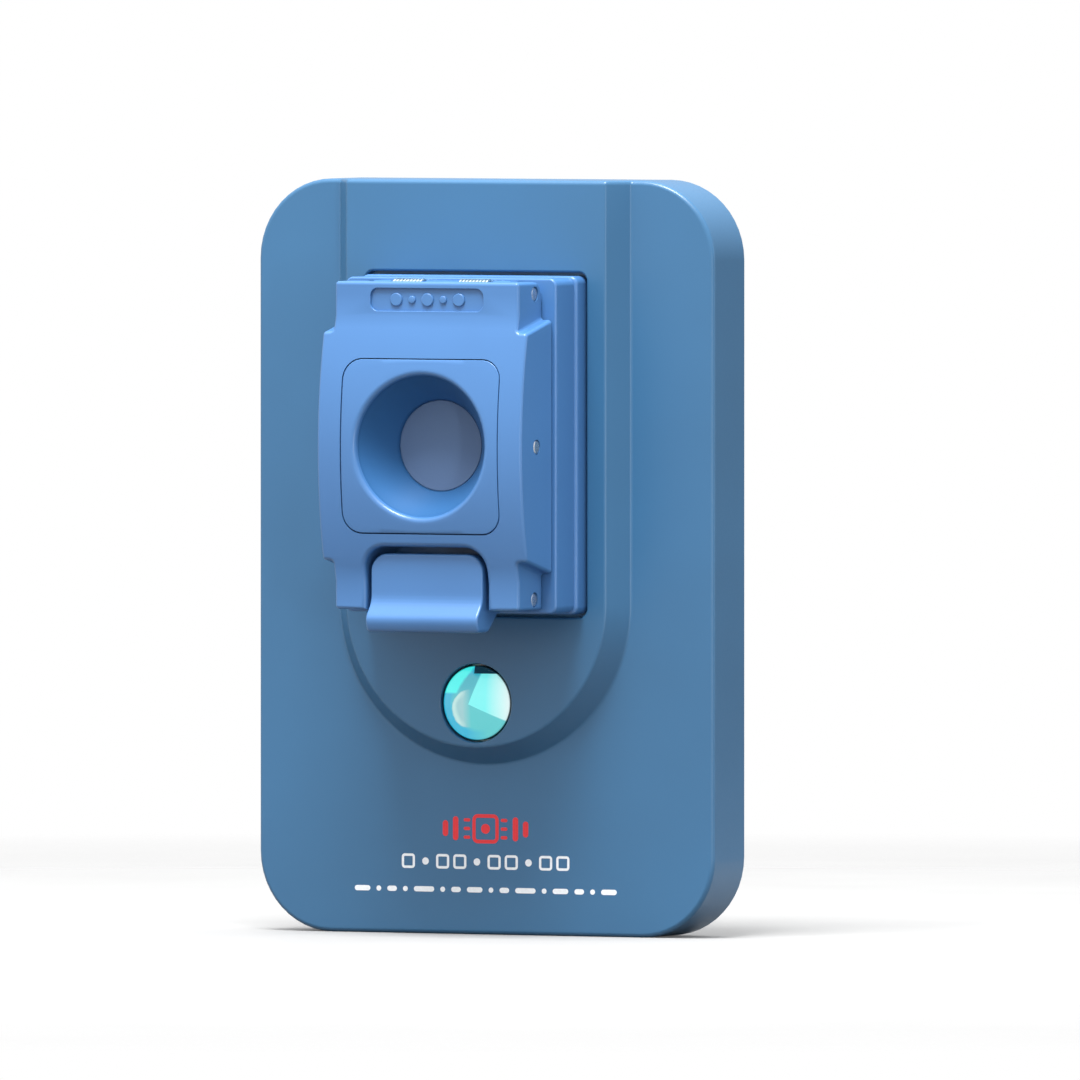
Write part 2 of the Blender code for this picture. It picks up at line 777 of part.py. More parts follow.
def cut_nest_spring_pockets(base, tools):
    for side in (-1, 1):
        for level in (-1, 1):
            cut(base, cylinder(
                f"nest_spring_pocket_{side + 1}_{level + 1}",
                NEST_SPRING_RADIUS + 2 * GAP,
                (side * NEST_SPRING_OFFSET, SOCKET_Z + level * NEST_SPRING_OFFSET),
                y_at(RECESS_FLOOR + GAP),
                y_at(-NEST_SPRING_SINK),
                tools,
                steps=12,
            ))


def cut_latch_catch(base, tools):
    """The notch that takes the latch's hook, open at the bottom end, and the undercut of its ledge."""
    half = HOOK_HALF_WIDTH + GAP
    below = LID_BOTTOM_Z - OVERSHOOT
    floor_y = y_at(NOTCH_FLOOR)
    notch_y = y_at(BASE_HEIGHT + OVERSHOOT)
    undercut_y = y_at(BASE_HEIGHT - LEDGE_THICKNESS)
    cut(base, block("hook_notch", (-half, notch_y, below), (half, floor_y, LEDGE_Z), tools))
    undercut_top = (half, floor_y, LEDGE_Z + UNDERCUT_RISE)
    cut(base, block("hook_undercut", (-half, undercut_y, below), undercut_top, tools))


def join_hinge_knuckles(base, tools):
    axis = (y_at(HINGE_HEIGHT), HINGE_Z)
    stretches = {
        "centre": (-CENTRE_KNUCKLE, CENTRE_KNUCKLE),
        "right": SIDE_KNUCKLE,
        "left": (-SIDE_KNUCKLE[1], -SIDE_KNUCKLE[0]),
    }
    for name, (start, end) in stretches.items():
        outline = arc(axis, KNUCKLE_RADIUS, 90, 270, 2 * ARC_STEPS)
        foot_y = y_at(BASE_HEIGHT - GAP)
        outline += [(foot_y, HINGE_Z - KNUCKLE_RADIUS), (foot_y, HINGE_Z + KNUCKLE_RADIUS)]
        join(base, prism(f"knuckle_{name}", outline, start, end, tools, "X"))
    reach = SIDE_KNUCKLE[1] + GAP
    cut(base, cylinder("knuckle_bore", PIN_RADIUS + RUNNING_GAP, axis, -reach, reach, tools, "X"))


def contact_block(parts, tools, material):
    """The carrier of the spring probes, with a raised island that reaches into the nest."""
    body = block(
        "contact_block",
        (-CONTACT_WIDTH / 2, y_at(CONTACT_SHELF), SOCKET_Z - CONTACT_LENGTH / 2),
        (CONTACT_WIDTH / 2, CHIPS_BACK_Y, SOCKET_Z + CONTACT_LENGTH / 2),
        parts,
    )
    join(body, probe_field(tools))
    return finish(body, material)


def probe_field(tools):
    """The island, its front face divided into a grid with one probe tip standing on each cell."""
    width = NEST_WINDOW_WIDTH - 2 * GAP
    length = NEST_WINDOW_LENGTH - 2 * GAP
    front = CHIP_SEAT - PIN_STAND - NEST_TRAVEL
    bm = bmesh.new()
    grid = Matrix.Translation((0.0, y_at(front), SOCKET_Z)) @ PLANE_OF_AXIS["Y"]
    bmesh.ops.create_grid(bm, x_segments=PIN_COLUMNS, y_segments=PIN_ROWS, size=0.5)
    bmesh.ops.scale(bm, vec=(width, length, 1.0), verts=bm.verts)
    bmesh.ops.transform(bm, matrix=grid, verts=bm.verts)
    cells = list(bm.faces)
    bmesh.ops.recalc_face_normals(bm, faces=cells)
    if cells[0].normal.y > 0:
        bmesh.ops.reverse_faces(bm, faces=cells)
    root = bmesh.ops.extrude_face_region(bm, geom=cells, use_keep_orig=True)
    moved = [item for item in root["geom"] if isinstance(item, bmesh.types.BMVert)]
    bmesh.ops.translate(bm, vec=(0.0, front - CONTACT_SHELF + GAP, 0.0), verts=moved)
    bmesh.ops.inset_individual(bm, faces=cells, thickness=PIN_INSET, depth=0.0)
    tips = bmesh.ops.extrude_discrete_faces(bm, faces=cells)["faces"]
    for tip in tips:
        bmesh.ops.translate(bm, vec=(0.0, -PIN_STAND, 0.0), verts=tip.verts)
    return add_from_bmesh("probe_field", bm, tools)


def chip_nest(parts, tools, material):
    """The floating frame that guides a chip down onto the probes."""
    side = RECESS_SIDE - 2 * GAP
    outline = rounded_rectangle(side, side, NEST_CORNER, (0.0, SOCKET_Z), 2)
    nest = prism("chip_nest", outline, y_at(NEST_FRONT), y_at(NEST_BACK), parts)
    round_edges(nest, CHAMFER, on_plane("Y", y_at(NEST_FRONT)), 1)
    pocket_width = CHIP_WIDTH + 2 * CHIP_PLAY
    pocket_length = CHIP_LENGTH + 2 * CHIP_PLAY
    centre = (0.0, SOCKET_Z)
    front_y = y_at(NEST_FRONT + OVERSHOOT)
    pocket = rounded_rectangle(pocket_width, pocket_length, INNER_CORNER, centre, 2)
    cut(nest, prism("chip_pocket", pocket, front_y, y_at(CHIP_SEAT), tools))
    lead_in = rounded_rectangle(
        pocket_width + 2 * LEAD_IN, pocket_length + 2 * LEAD_IN, INNER_CORNER, centre, 2
    )
    cut(nest, prism("chip_lead_in", lead_in, front_y, y_at(LEAD_IN_FLOOR), tools))
    window = rounded_rectangle(NEST_WINDOW_WIDTH, NEST_WINDOW_LENGTH, INNER_CORNER, centre, 2)
    cut(nest, prism("probe_window", window, y_at(CHIP_SEAT + GAP), y_at(0.0), tools))
    return finish(nest, material)


def coil_points(centre, radius, axis, start, end, turns, per_turn=COIL_STEPS):
    """Points of a coil about an axis, from start to end along it."""
    points = []
    total = int(turns * per_turn)
    for step in range(total + 1):
        angle = 2 * math.pi * step / per_turn
        along = start + (end - start) * step / total
        if axis == "Y":
            points.append((
                centre[0] + radius * math.cos(angle),
                along,
                centre[1] + radius * math.sin(angle),
            ))
        else:
            points.append((
                along,
                centre[0] + radius * math.cos(angle),
                centre[1] + radius * math.sin(angle),
            ))
    return points


def nest_springs(parts, material):
    number = 0
    front = y_at(NEST_BACK - GAP - NEST_SPRING_WIRE)
    back = y_at(NEST_SPRING_BACK)
    for level in (-1, 1):
        for side in (-1, 1):
            number += 1
            centre = (side * NEST_SPRING_OFFSET, SOCKET_Z + level * NEST_SPRING_OFFSET)
            points = coil_points(
                centre, NEST_SPRING_RADIUS, "Y", front, back, NEST_SPRING_TURNS, NEST_SPRING_STEPS
            )
            spring = wire(f"nest_spring_{number}", points, NEST_SPRING_WIRE, parts)
            spring.data.materials.append(material)


def socket_screws(parts, tools, material):
    seat_y = BOARD_BACK_Y + GAP
    mesh = screw_mesh(seat_y - CHIPS_BACK_Y + SOCKET_SCREW_DEPTH - GAP, tools)
    number = 0
    for level in (-1, 1):
        for side in (-1, 1):
            number += 1
            screw = add_object(f"socket_screw_{number}", mesh, parts)
            z = SOCKET_Z + level * SOCKET_SCREW_Z
            screw.location = (side * SOCKET_SCREW_X, seat_y, z)
    finish(screw, material)


# Lid and what it carries


def lid_profile():
    """The lid seen from its side, as (Y, Z): flat back, bowed front, and a round hinge corner."""
    bow = []
    steps = 4 * ARC_STEPS
    for step in range(steps + 1):
        z = CROWN_BOTTOM_Z + (CROWN_TOP_Z - CROWN_BOTTOM_Z) * step / steps
        bow.append((y_at(crown_height(z)), z))
    heel = LID_TOP_Z - HINGE_Z
    hinge_corner = arc((y_at(HINGE_HEIGHT), HINGE_Z), heel, 90, 0, ARC_STEPS)
    return (
        [(y_at(LID_BACK), LID_BOTTOM_Z), (y_at(LID_FRONT), LID_BOTTOM_Z)]
        + bow
        + [(y_at(LID_FRONT), LID_TOP_Z)]
        + hinge_corner
        + [(y_at(LID_BACK), HINGE_Z)]
    )


def cut_wings(lid, tools):
    """The narrower stretches at both ends of the lid, which leave two wings between them."""
    back = LID_BACK - OVERSHOOT
    front = LID_FRONT + CROWN + OVERSHOOT
    lean = WING_LEAN * (front - back) / (LID_FRONT - LID_BACK)
    ends = {
        "top": [
            (y_at(back), WING_TOP_Z + WING_LEAN / 2),
            (y_at(front), WING_TOP_Z + WING_LEAN / 2 - lean),
            (y_at(front), LID_TOP_Z + OVERSHOOT),
            (y_at(back), LID_TOP_Z + OVERSHOOT),
        ],
        "bottom": [
            (y_at(back), WING_BOTTOM_Z - WING_LEAN / 2),
            (y_at(front), WING_BOTTOM_Z - WING_LEAN / 2 + lean),
            (y_at(front), LID_BOTTOM_Z - OVERSHOOT),
            (y_at(back), LID_BOTTOM_Z - OVERSHOOT),
        ],
    }
    for name, outline in ends.items():
        for side in (-1, 1):
            start = side * LID_END_WIDTH / 2
            end = side * (LID_WIDTH / 2 + OVERSHOOT)
            cut(lid, prism(f"wing_notch_{name}_{side + 1}", outline, start, end, tools, "X"))


def slot_outline():
    """The latch's opening seen from the front: round top corners, open at the bottom."""
    low = LID_BOTTOM_Z - OVERSHOOT
    corner_z = SLOT_TOP_Z - SLOT_CORNER
    corner_x = SLOT_HALF_WIDTH - SLOT_CORNER
    points = [(-SLOT_HALF_WIDTH, low), (SLOT_HALF_WIDTH, low)]
    points += arc((corner_x, corner_z), SLOT_CORNER, 0, 90, ARC_STEPS)
    points += arc((-corner_x, corner_z), SLOT_CORNER, 90, 180, ARC_STEPS)
    return points


def socket_lid(parts, tools, material):
    lid = prism("socket_lid", lid_profile(), -LID_WIDTH / 2, LID_WIDTH / 2, parts, "X")
    for side in (-1, 1):
        round_edges(lid, LID_FILLET, on_plane("X", side * LID_WIDTH / 2), 2)
    cut_wings(lid, tools)
    through = (y_at(LID_FRONT + CROWN + OVERSHOOT), y_at(LID_BACK - OVERSHOOT))
    opening = rounded_rectangle(
        PUSHER_SIDE + 2 * GAP, PUSHER_SIDE + 2 * GAP, PUSHER_CORNER + GAP, (0.0, SOCKET_Z), 4
    )
    cut(lid, prism("pusher_opening", opening, *through, tools))
    cut(lid, prism("latch_slot", slot_outline(), *through, tools))
    pocket = rounded_rectangle(
        NAME_POCKET_WIDTH, NAME_POCKET_HEIGHT, NAME_POCKET_CORNER, (0.0, NAME_POCKET_Z), 3
    )
    pocket_floor = y_at(LID_FRONT - NAME_POCKET_DEPTH)
    cut(lid, prism("name_pocket", pocket, through[0], pocket_floor, tools))
    cut(lid, block(
        "hinge_pocket",
        (-EAR_INNER_X, y_at(HINGE_HEIGHT + SPRING_RADIUS + PLAY), HINGE_Z - SPRING_LEG - PLAY),
        (EAR_INNER_X, y_at(LID_BACK - OVERSHOOT), LID_TOP_Z + OVERSHOOT),
        tools,
    ))
    reach = LID_END_WIDTH / 2 + OVERSHOOT
    bore = PIN_RADIUS + RUNNING_GAP
    hinge = (y_at(HINGE_HEIGHT), HINGE_Z)
    latch = (y_at(LATCH_HEIGHT), LATCH_Z)
    pusher = (y_at(PUSHER_AXIS_HEIGHT), SOCKET_Z)
    for name, axis in (("hinge", hinge), ("latch", latch), ("pusher", pusher)):
        cut(lid, cylinder(f"{name}_pin_hole", bore, axis, -reach, reach, tools, "X"))
    return finish(lid, material)


def cross_pin(name, start, end, axis, parts, material):
    pin = cylinder(name, PIN_RADIUS, axis, start, end, parts, "X")
    for x in (start, end):
        round_edges(pin, PIN_CHAMFER, on_plane("X", x), 1)
    return finish(pin, material)


def hinge_springs(parts, material):
    """Two torsion springs on the hinge pin. One leg lies on the base and the other lifts the lid."""
    centre = (y_at(HINGE_HEIGHT), HINGE_Z)
    springs = []
    for name, side in (("left", -1), ("right", 1)):
        start, end = (side * value for value in SPRING_SPAN)
        coil = coil_points(centre, SPRING_RADIUS, "X", start, end, SPRING_TURNS)
        low_leg = (start, centre[0] + SPRING_RADIUS, HINGE_Z - SPRING_LEG)
        high_leg = (end, centre[0] - SPRING_RADIUS, HINGE_Z - SPRING_LEG)
        spring = wire(f"hinge_spring_{name}", [low_leg] + coil + [high_leg], SPRING_WIRE, parts)
        spring.data.materials.append(material)
        springs.append(spring)
    return springs


def pusher_profile():
    """The pusher seen from its side, as (Y, Z): its front continues the bow of the lid."""
    low = SOCKET_Z - PUSHER_SIDE / 2
    high = SOCKET_Z + PUSHER_SIDE / 2
    steps = 2 * ARC_STEPS
    points = [(y_at(PUSHER_BACK), high + OVERSHOOT), (y_at(PUSHER_BACK), low - OVERSHOOT)]
    for step in range(steps + 1):
        z = low - OVERSHOOT + (high - low + 2 * OVERSHOOT) * step / steps
        points.append((y_at(crown_height(z)), z))
    return points


def pusher(parts, tools, material):
    """The square insert of the lid, with a round funnel through it."""
    half = PUSHER_SIDE / 2
    outline = rounded_rectangle(PUSHER_SIDE, PUSHER_SIDE, PUSHER_CORNER, (0.0, SOCKET_Z), 4)
    front = y_at(LID_FRONT + CROWN + OVERSHOOT)
    body = prism("pusher", outline, front, y_at(PUSHER_BACK - OVERSHOOT), parts)
    intersect(body, prism("pusher_bow", pusher_profile(), -half - OVERSHOOT, half + OVERSHOOT, tools, "X"))
    cut(body, funnel_tool(tools))
    plate = press_plate_outline(PRESS_PAD_PLAY)
    cut(body, prism("press_plate_seat", plate, y_at(PUSHER_BACK + GAP), y_at(0.0), tools))
    bore = PIN_RADIUS + RUNNING_GAP
    for side in (-1, 1):
        inner = side * (PUSHER_PIN_INNER_X - GAP)
        axis = (y_at(PUSHER_AXIS_HEIGHT), SOCKET_Z)
        name = f"pusher_pin_hole_{side + 1}"
        cut(body, cylinder(name, bore, axis, inner, side * (half + OVERSHOOT), tools, "X"))
    return finish(body, material)


def funnel_tool(tools):
    """The hollow of the funnel: a soft lip, a wall that curves in, and a straight throat."""
    rim = LID_FRONT + CROWN
    lip_low = rim - FUNNEL_LIP
    outer = FUNNEL_RIM_RADIUS + 3 * FUNNEL_LIP
    profile = [(0.0, rim + OVERSHOOT), (outer, rim + OVERSHOOT), (FUNNEL_RIM_RADIUS + FUNNEL_LIP, rim)]
    narrowing = FUNNEL_RIM_RADIUS - FUNNEL_FLOOR_RADIUS
    for step in range(ARC_STEPS + 1):
        along = step / ARC_STEPS
        radius = FUNNEL_FLOOR_RADIUS + narrowing * (1 - along) ** FUNNEL_CURVE
        profile.append((radius, lip_low - (lip_low - FUNNEL_FLOOR) * along))
    profile += [(FUNNEL_FLOOR_RADIUS, PUSHER_BACK - OVERSHOOT), (0.0, PUSHER_BACK - OVERSHOOT)]
    return turned("funnel", profile, (0.0, PAD_TOP_Y, SOCKET_Z), tools, 32)


def press_plate_outline(play):
    """The plate that meets the chip, a little smaller than the chip's pocket."""
    width = CHIP_WIDTH + 2 * CHIP_PLAY - 2 * PRESS_PAD_PLAY + 2 * play
    length = CHIP_LENGTH + 2 * CHIP_PLAY - 2 * PRESS_PAD_PLAY + 2 * play
    return rounded_rectangle(width, length, INNER_CORNER, (0.0, SOCKET_Z), 2)


def pressure_pad(parts, tools, material):
    """The round boss seen at the bottom of the funnel and the plate behind it that meets the chip."""
    plate_front = PUSHER_BACK - GAP
    pad = prism(
        "pressure_pad", press_plate_outline(0.0), y_at(plate_front), y_at(PRESS_PAD_BACK), parts
    )
    boss = cylinder(
        "pressure_boss",
        FUNNEL_FLOOR_RADIUS - PRESS_BOSS_PLAY,
        (0.0, SOCKET_Z),
        y_at(FUNNEL_FLOOR),
        y_at(plate_front - GAP),
        tools,
        steps=32,
    )
    join(pad, boss)
    return finish(pad, material)


def latch_profile():
    """The latch lever seen from its side, as (Y, Z): plate, flared lip, barrel and hook stem."""
    face = y_at(LID_FRONT)
    back = y_at(LID_FRONT - LATCH_PLATE)
    lip_front = y_at(LID_FRONT + LATCH_LIP_STAND)
    lip_back = lip_front + LATCH_LIP_THICKNESS
    axis = (y_at(LATCH_HEIGHT), LATCH_Z)
    points = [(back, LATCH_TOP_Z), (face, LATCH_TOP_Z), (face, LATCH_FLARE_Z)]
    steps = ARC_STEPS
    lip_top_z = LATCH_LIP_Z + LATCH_LIP_HEIGHT
    for step in range(1, steps + 1):
        along = step / steps
        sweep = 1 - math.cos(along * math.pi / 2)
        z = LATCH_FLARE_Z + (lip_top_z - LATCH_FLARE_Z) * along
        points.append((face + (lip_front - face) * sweep, z))
    points += [(lip_front, LATCH_LIP_Z), (lip_back, LATCH_LIP_Z)]
    points.append((axis[0] - LATCH_HEEL, LATCH_Z - LATCH_BARREL))
    points += arc(axis, LATCH_BARREL, 270, 450, 2 * ARC_STEPS)
    points.append((back, LATCH_Z + LATCH_BARREL + LATCH_NECK))
    return points


def latch_lever(parts, tools, material):
    half = LATCH_HALF_WIDTH
    lever = prism("latch_lever", latch_profile(), -half, half, parts, "X")
    top = LATCH_TOP_Z - LATCH_CORNER
    side = half - LATCH_CORNER
    outline = [(-half - OVERSHOOT, LATCH_LIP_Z - OVERSHOOT), (half + OVERSHOOT, LATCH_LIP_Z - OVERSHOOT)]
    outline += [(half + OVERSHOOT, LATCH_Z), (half, LATCH_Z)]
    outline += arc((side, top), LATCH_CORNER, 0, 90, ARC_STEPS)
    outline += arc((-side, top), LATCH_CORNER, 90, 180, ARC_STEPS)
    outline += [(-half, LATCH_Z), (-half - OVERSHOOT, LATCH_Z)]
    front = y_at(LID_FRONT + LATCH_LIP_STAND + OVERSHOOT)
    intersect(lever, prism("latch_corners", outline, front, y_at(0.0), tools))
    join(lever, hook_body(tools))
    axis = (y_at(LATCH_HEIGHT), LATCH_Z)
    reach = half + OVERSHOOT
    cut(lever, cylinder("latch_bore", PIN_RADIUS + RUNNING_GAP, axis, -reach, reach, tools, "X"))
    room_front = (-SPRING_ROOM_HALF_WIDTH, y_at(LATCH_HEIGHT + SPRING_ROOM_DEPTH), LATCH_LIP_Z)
    room_back = (
        SPRING_ROOM_HALF_WIDTH,
        y_at(LATCH_HEIGHT - LATCH_BARREL - GAP),
        LATCH_TOP_Z + OVERSHOOT,
    )
    cut(lever, block("latch_spring_room", room_front, room_back, tools))
    return finish(lever, material)


def hook_body(tools):
    """The hook that reaches into the base, its nose turned up behind the ledge."""
    stem_bottom = LATCH_Z - LATCH_BARREL
    tip = BASE_HEIGHT - HOOK_REACH
    nose_front = BASE_HEIGHT - LEDGE_THICKNESS - GAP
    outline = [
        (y_at(LATCH_HEIGHT), stem_bottom),
        (y_at(LATCH_HEIGHT), HOOK_TOP_Z - HOOK_NOSE),
        (y_at(nose_front), HOOK_TOP_Z - HOOK_NOSE),
        (y_at(nose_front), HOOK_TOP_Z),
        (y_at(tip + HOOK_CHAMFER), HOOK_TOP_Z),
        (y_at(tip), HOOK_TOP_Z - HOOK_CHAMFER),
        (y_at(tip), stem_bottom),
    ]
    return prism("hook", outline, -HOOK_HALF_WIDTH, HOOK_HALF_WIDTH, tools, "X")


def latch_spring(parts, material):
    """A torsion spring on the latch's pin that holds the lever shut."""
    centre = (y_at(LATCH_HEIGHT), LATCH_Z)
    radius = PIN_RADIUS + GAP + LATCH_SPRING_WIRE
    half = LATCH_SPRING_HALF_LENGTH
    coil = coil_points(centre, radius, "X", -half, half, LATCH_SPRING_TURNS)
    leg = (half, centre[0] - radius, LATCH_Z + LATCH_SPRING_LEG)
    spring = wire("latch_spring", coil + [leg], LATCH_SPRING_WIRE, parts)
    spring.data.materials.append(material)
    return spring


def build():
    reset_scene()
    parts = new_collection(OBJECT_NAME)
    tools = new_collection("cutters")

    box_blue = new_material("box_blue", (0.060, 0.180, 0.340), 0.42)
    socket_blue = new_material("socket_blue", (0.075, 0.215, 0.500), 0.40)
    clear_cyan = new_material("clear_cyan", (0.100, 0.800, 0.850), 0.08, transmission=0.7)
    steel = new_material("steel", (0.560, 0.570, 0.580), 0.28, 1.0)
    spring_steel = new_material("spring_steel", (0.640, 0.600, 0.480), 0.30, 1.0)
    rubber = new_material("rubber", (0.020, 0.020, 0.022), 0.80)
    board_green = new_material("board_green", (0.010, 0.090, 0.045), 0.45)
    moulding_black = new_material("moulding_black", (0.018, 0.018, 0.020), 0.50)
    moulding_amber = new_material("moulding_amber", (0.330, 0.200, 0.090), 0.50)
    pad_grey = new_material("pad_grey", (0.110, 0.140, 0.210), 0.45)
    led_white = new_material("led_white", (0.850, 0.850, 0.800), 0.35)

    front_cover(parts, tools, box_blue)
    rear_cover(parts, tools, box_blue)
    cover_screws(parts, tools, steel)
    rubber_feet(parts, rubber)
    main_board(parts, tools, board_green)
    usb_c_receptacle(parts, tools, steel)
    board_chip("controller_chip", CONTROLLER, parts, moulding_black)
    board_chip("power_regulator", REGULATOR, parts, moulding_black)
    board_chip("status_led", LED, parts, led_white)
    button_switch(parts, tools, moulding_black)
    cap = button_cap(parts, clear_cyan)

    socket_base(parts, tools, socket_blue)
    socket_screws(parts, tools, steel)
    contact_block(parts, tools, moulding_amber)
    nest = chip_nest(parts, tools, moulding_black)
    nest_springs(parts, steel)

    lid = socket_lid(parts, tools, socket_blue)
    reach = LID_END_WIDTH / 2 - PIN_SINK
    hinge_axis = (y_at(HINGE_HEIGHT), HINGE_Z)
    latch_axis = (y_at(LATCH_HEIGHT), LATCH_Z)
    pusher_axis = (y_at(PUSHER_AXIS_HEIGHT), SOCKET_Z)
    cross_pin("hinge_pin", -reach, reach, hinge_axis, parts, steel)
    latch_pin = cross_pin("latch_pin", -reach, reach, latch_axis, parts, steel)
    outer = LID_WIDTH / 2
    left_pin = cross_pin("pusher_pin_left", -outer, -PUSHER_PIN_INNER_X, pusher_axis, parts, steel)
    right_pin = cross_pin("pusher_pin_right", PUSHER_PIN_INNER_X, outer, pusher_axis, parts, steel)
    hinge_springs(parts, spring_steel)
    insert = pusher(parts, tools, socket_blue)
    pad = pressure_pad(parts, tools, pad_grey)
    lever = latch_lever(parts, tools, socket_blue)
    lever_spring = latch_spring(parts, spring_steel)

    hold([lid, latch_pin, left_pin, right_pin], "lid_hinge_axis", (0.0, *hinge_axis), parts)
    hold([lever, lever_spring], "latch_axis", (0.0, *latch_axis), parts)
    hold([insert, pad], "pusher_axis", (0.0, *pusher_axis), parts)
    hold([nest], "nest_axis", (0.0, y_at(NEST_FRONT), SOCKET_Z), parts)
    hold([cap], "button_axis", (0.0, PAD_TOP_Y, BUTTON_Z), parts)


build()
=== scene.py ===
"""The looks of a hand-held chip programmer: fine surfaces, materials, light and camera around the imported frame.

Metres, +Z up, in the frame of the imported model. The front of the box faces -Y and X = 0 is its middle plane.
"Height" above the pad means the distance in front of the raised pad that carries the socket.
"""

import json
import math

import bmesh
import bpy
from mathutils import Matrix, Vector


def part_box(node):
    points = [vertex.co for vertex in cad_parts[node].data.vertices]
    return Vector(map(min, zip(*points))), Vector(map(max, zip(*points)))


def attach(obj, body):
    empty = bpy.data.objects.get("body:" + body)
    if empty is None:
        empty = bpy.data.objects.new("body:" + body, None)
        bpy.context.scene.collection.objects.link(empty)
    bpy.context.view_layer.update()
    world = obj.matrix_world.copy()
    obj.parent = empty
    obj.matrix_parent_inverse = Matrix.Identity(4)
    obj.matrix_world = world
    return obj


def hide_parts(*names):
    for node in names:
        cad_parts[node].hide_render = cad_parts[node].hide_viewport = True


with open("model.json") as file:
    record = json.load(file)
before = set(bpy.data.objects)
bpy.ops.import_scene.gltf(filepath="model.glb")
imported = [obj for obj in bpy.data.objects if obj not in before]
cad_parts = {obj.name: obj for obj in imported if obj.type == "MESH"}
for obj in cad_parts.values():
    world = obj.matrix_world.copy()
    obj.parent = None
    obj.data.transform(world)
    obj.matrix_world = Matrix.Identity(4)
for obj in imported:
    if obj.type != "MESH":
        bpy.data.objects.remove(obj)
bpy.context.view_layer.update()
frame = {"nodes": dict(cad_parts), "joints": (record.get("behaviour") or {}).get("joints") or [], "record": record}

MM = 0.001
BODY_OF = {node: body for body, nodes in frame["record"]["behaviour"]["bodies"].items() for node in nodes}
JOINTS = {joint["name"]: joint for joint in frame["joints"]}

# Enclosure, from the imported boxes
COVER_LOW, COVER_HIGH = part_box("front_cover")
REAR_LOW, REAR_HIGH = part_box("rear_cover")
BOX_WIDTH = COVER_HIGH.x - COVER_LOW.x
BOX_HEIGHT = COVER_HIGH.z - COVER_LOW.z
BOX_CORNER = 12.0 * MM
BOX_FILLET = 0.7 * MM
REAR_FILLET = 0.5 * MM
WALL = 2.0 * MM
PAD_RAISE = 3.4 * MM
PAD_SLOPE = 2.7 * MM
PAD_HALF_WIDTH = 21.6 * MM
PAD_ARC_Z = 49.9 * MM
PAD_FILLET = 0.6 * MM
PAD_TOP_Y = COVER_LOW.y
FRONT_Y = PAD_TOP_Y + PAD_RAISE
REAR_Y = COVER_HIGH.y
INNER_Y = FRONT_Y + WALL
BOARD_FRONT_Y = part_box("main_board")[0].y
BOARD_BACK_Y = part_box("main_board")[1].y

# Socket
BASE_LOW, BASE_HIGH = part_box("socket_base")
LID_LOW, LID_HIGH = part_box("socket_lid")
SOCKET_Z = (BASE_LOW.z + BASE_HIGH.z) / 2
FLANGE_WIDTH = BASE_HIGH.x - BASE_LOW.x
FLANGE_LENGTH = BASE_HIGH.z - BASE_LOW.z
HINGE_Y, HINGE_Z = JOINTS["lid_hinge"]["pos_m"][1:]
LATCH_Y, LATCH_Z = JOINTS["latch_pivot"]["pos_m"][1:]
PUSHER_Y = JOINTS["pusher_rock"]["pos_m"][1]

# Clearances
GAP = 0.3 * MM
BORE_PLAY = 0.08 * MM
BEYOND = 2.0 * MM
HAIR = 0.005 * MM
PROUD = 0.02 * MM


def y_at(height):
    """Y of a plane that stands the given height in front of the pad."""
    return PAD_TOP_Y - height


# Outlines: functions of how far the outline grows outwards


def arc(centre, radius, start, end, steps):
    """Points on an arc, angles in degrees, both ends included."""
    angles = [math.radians(start + (end - start) * step / steps) for step in range(steps + 1)]
    return [(centre[0] + radius * math.cos(a), centre[1] + radius * math.sin(a)) for a in angles]


def rounded(width, height, radius, centre=(0.0, 0.0), steps=8):
    def outline(grow=0.0):
        corner = max(radius + grow, HAIR)
        points = []
        for quarter, (side_a, side_b) in enumerate(((1, 1), (-1, 1), (-1, -1), (1, -1))):
            middle = (
                centre[0] + side_a * (width / 2 + grow - corner),
                centre[1] + side_b * (height / 2 + grow - corner),
            )
            points += arc(middle, corner, 90 * quarter, 90 * quarter + 90, steps)
        return points
    return outline


def disc(radius, centre=(0.0, 0.0), steps=64):
    return lambda grow=0.0: arc(centre, radius + grow, 0, 360, steps)[:-1]


def fixed(points):
    """An outline that never grows."""
    return lambda grow=0.0: points


# Meshes


def new_object(name, bm):
    bmesh.ops.recalc_face_normals(bm, faces=bm.faces)
    mesh = bpy.data.meshes.new(name)
    bm.to_mesh(mesh)
    bm.free()
    obj = bpy.data.objects.new(name, mesh)
    bpy.context.scene.collection.objects.link(obj)
    return obj


def point(a, b, along, axis):
    return Vector({"X": (along, a, b), "Y": (a, along, b), "Z": (a, b, along)}[axis])


def bridge(bm, first, second):
    count = len(first)
    for i in range(count):
        j = (i + 1) % count
        bm.faces.new((first[i], first[j], second[j], second[i]))


def swept(name, outline, stations, axis="Y"):
    """The closed solid through the rings of an outline. stations lists (grow, place along the axis)."""
    bm = bmesh.new()
    rings = [[bm.verts.new(point(a, b, along, axis)) for a, b in outline(grow)] for grow, along in stations]
    for first, second in zip(rings, rings[1:]):
        bridge(bm, first, second)
    bm.faces.new(rings[0])
    bm.faces.new(rings[-1])
    return new_object(name, bm)


def prism(name, points, start, end, axis="Y"):
    return swept(name, fixed(points), [(0.0, start), (0.0, end)], axis)


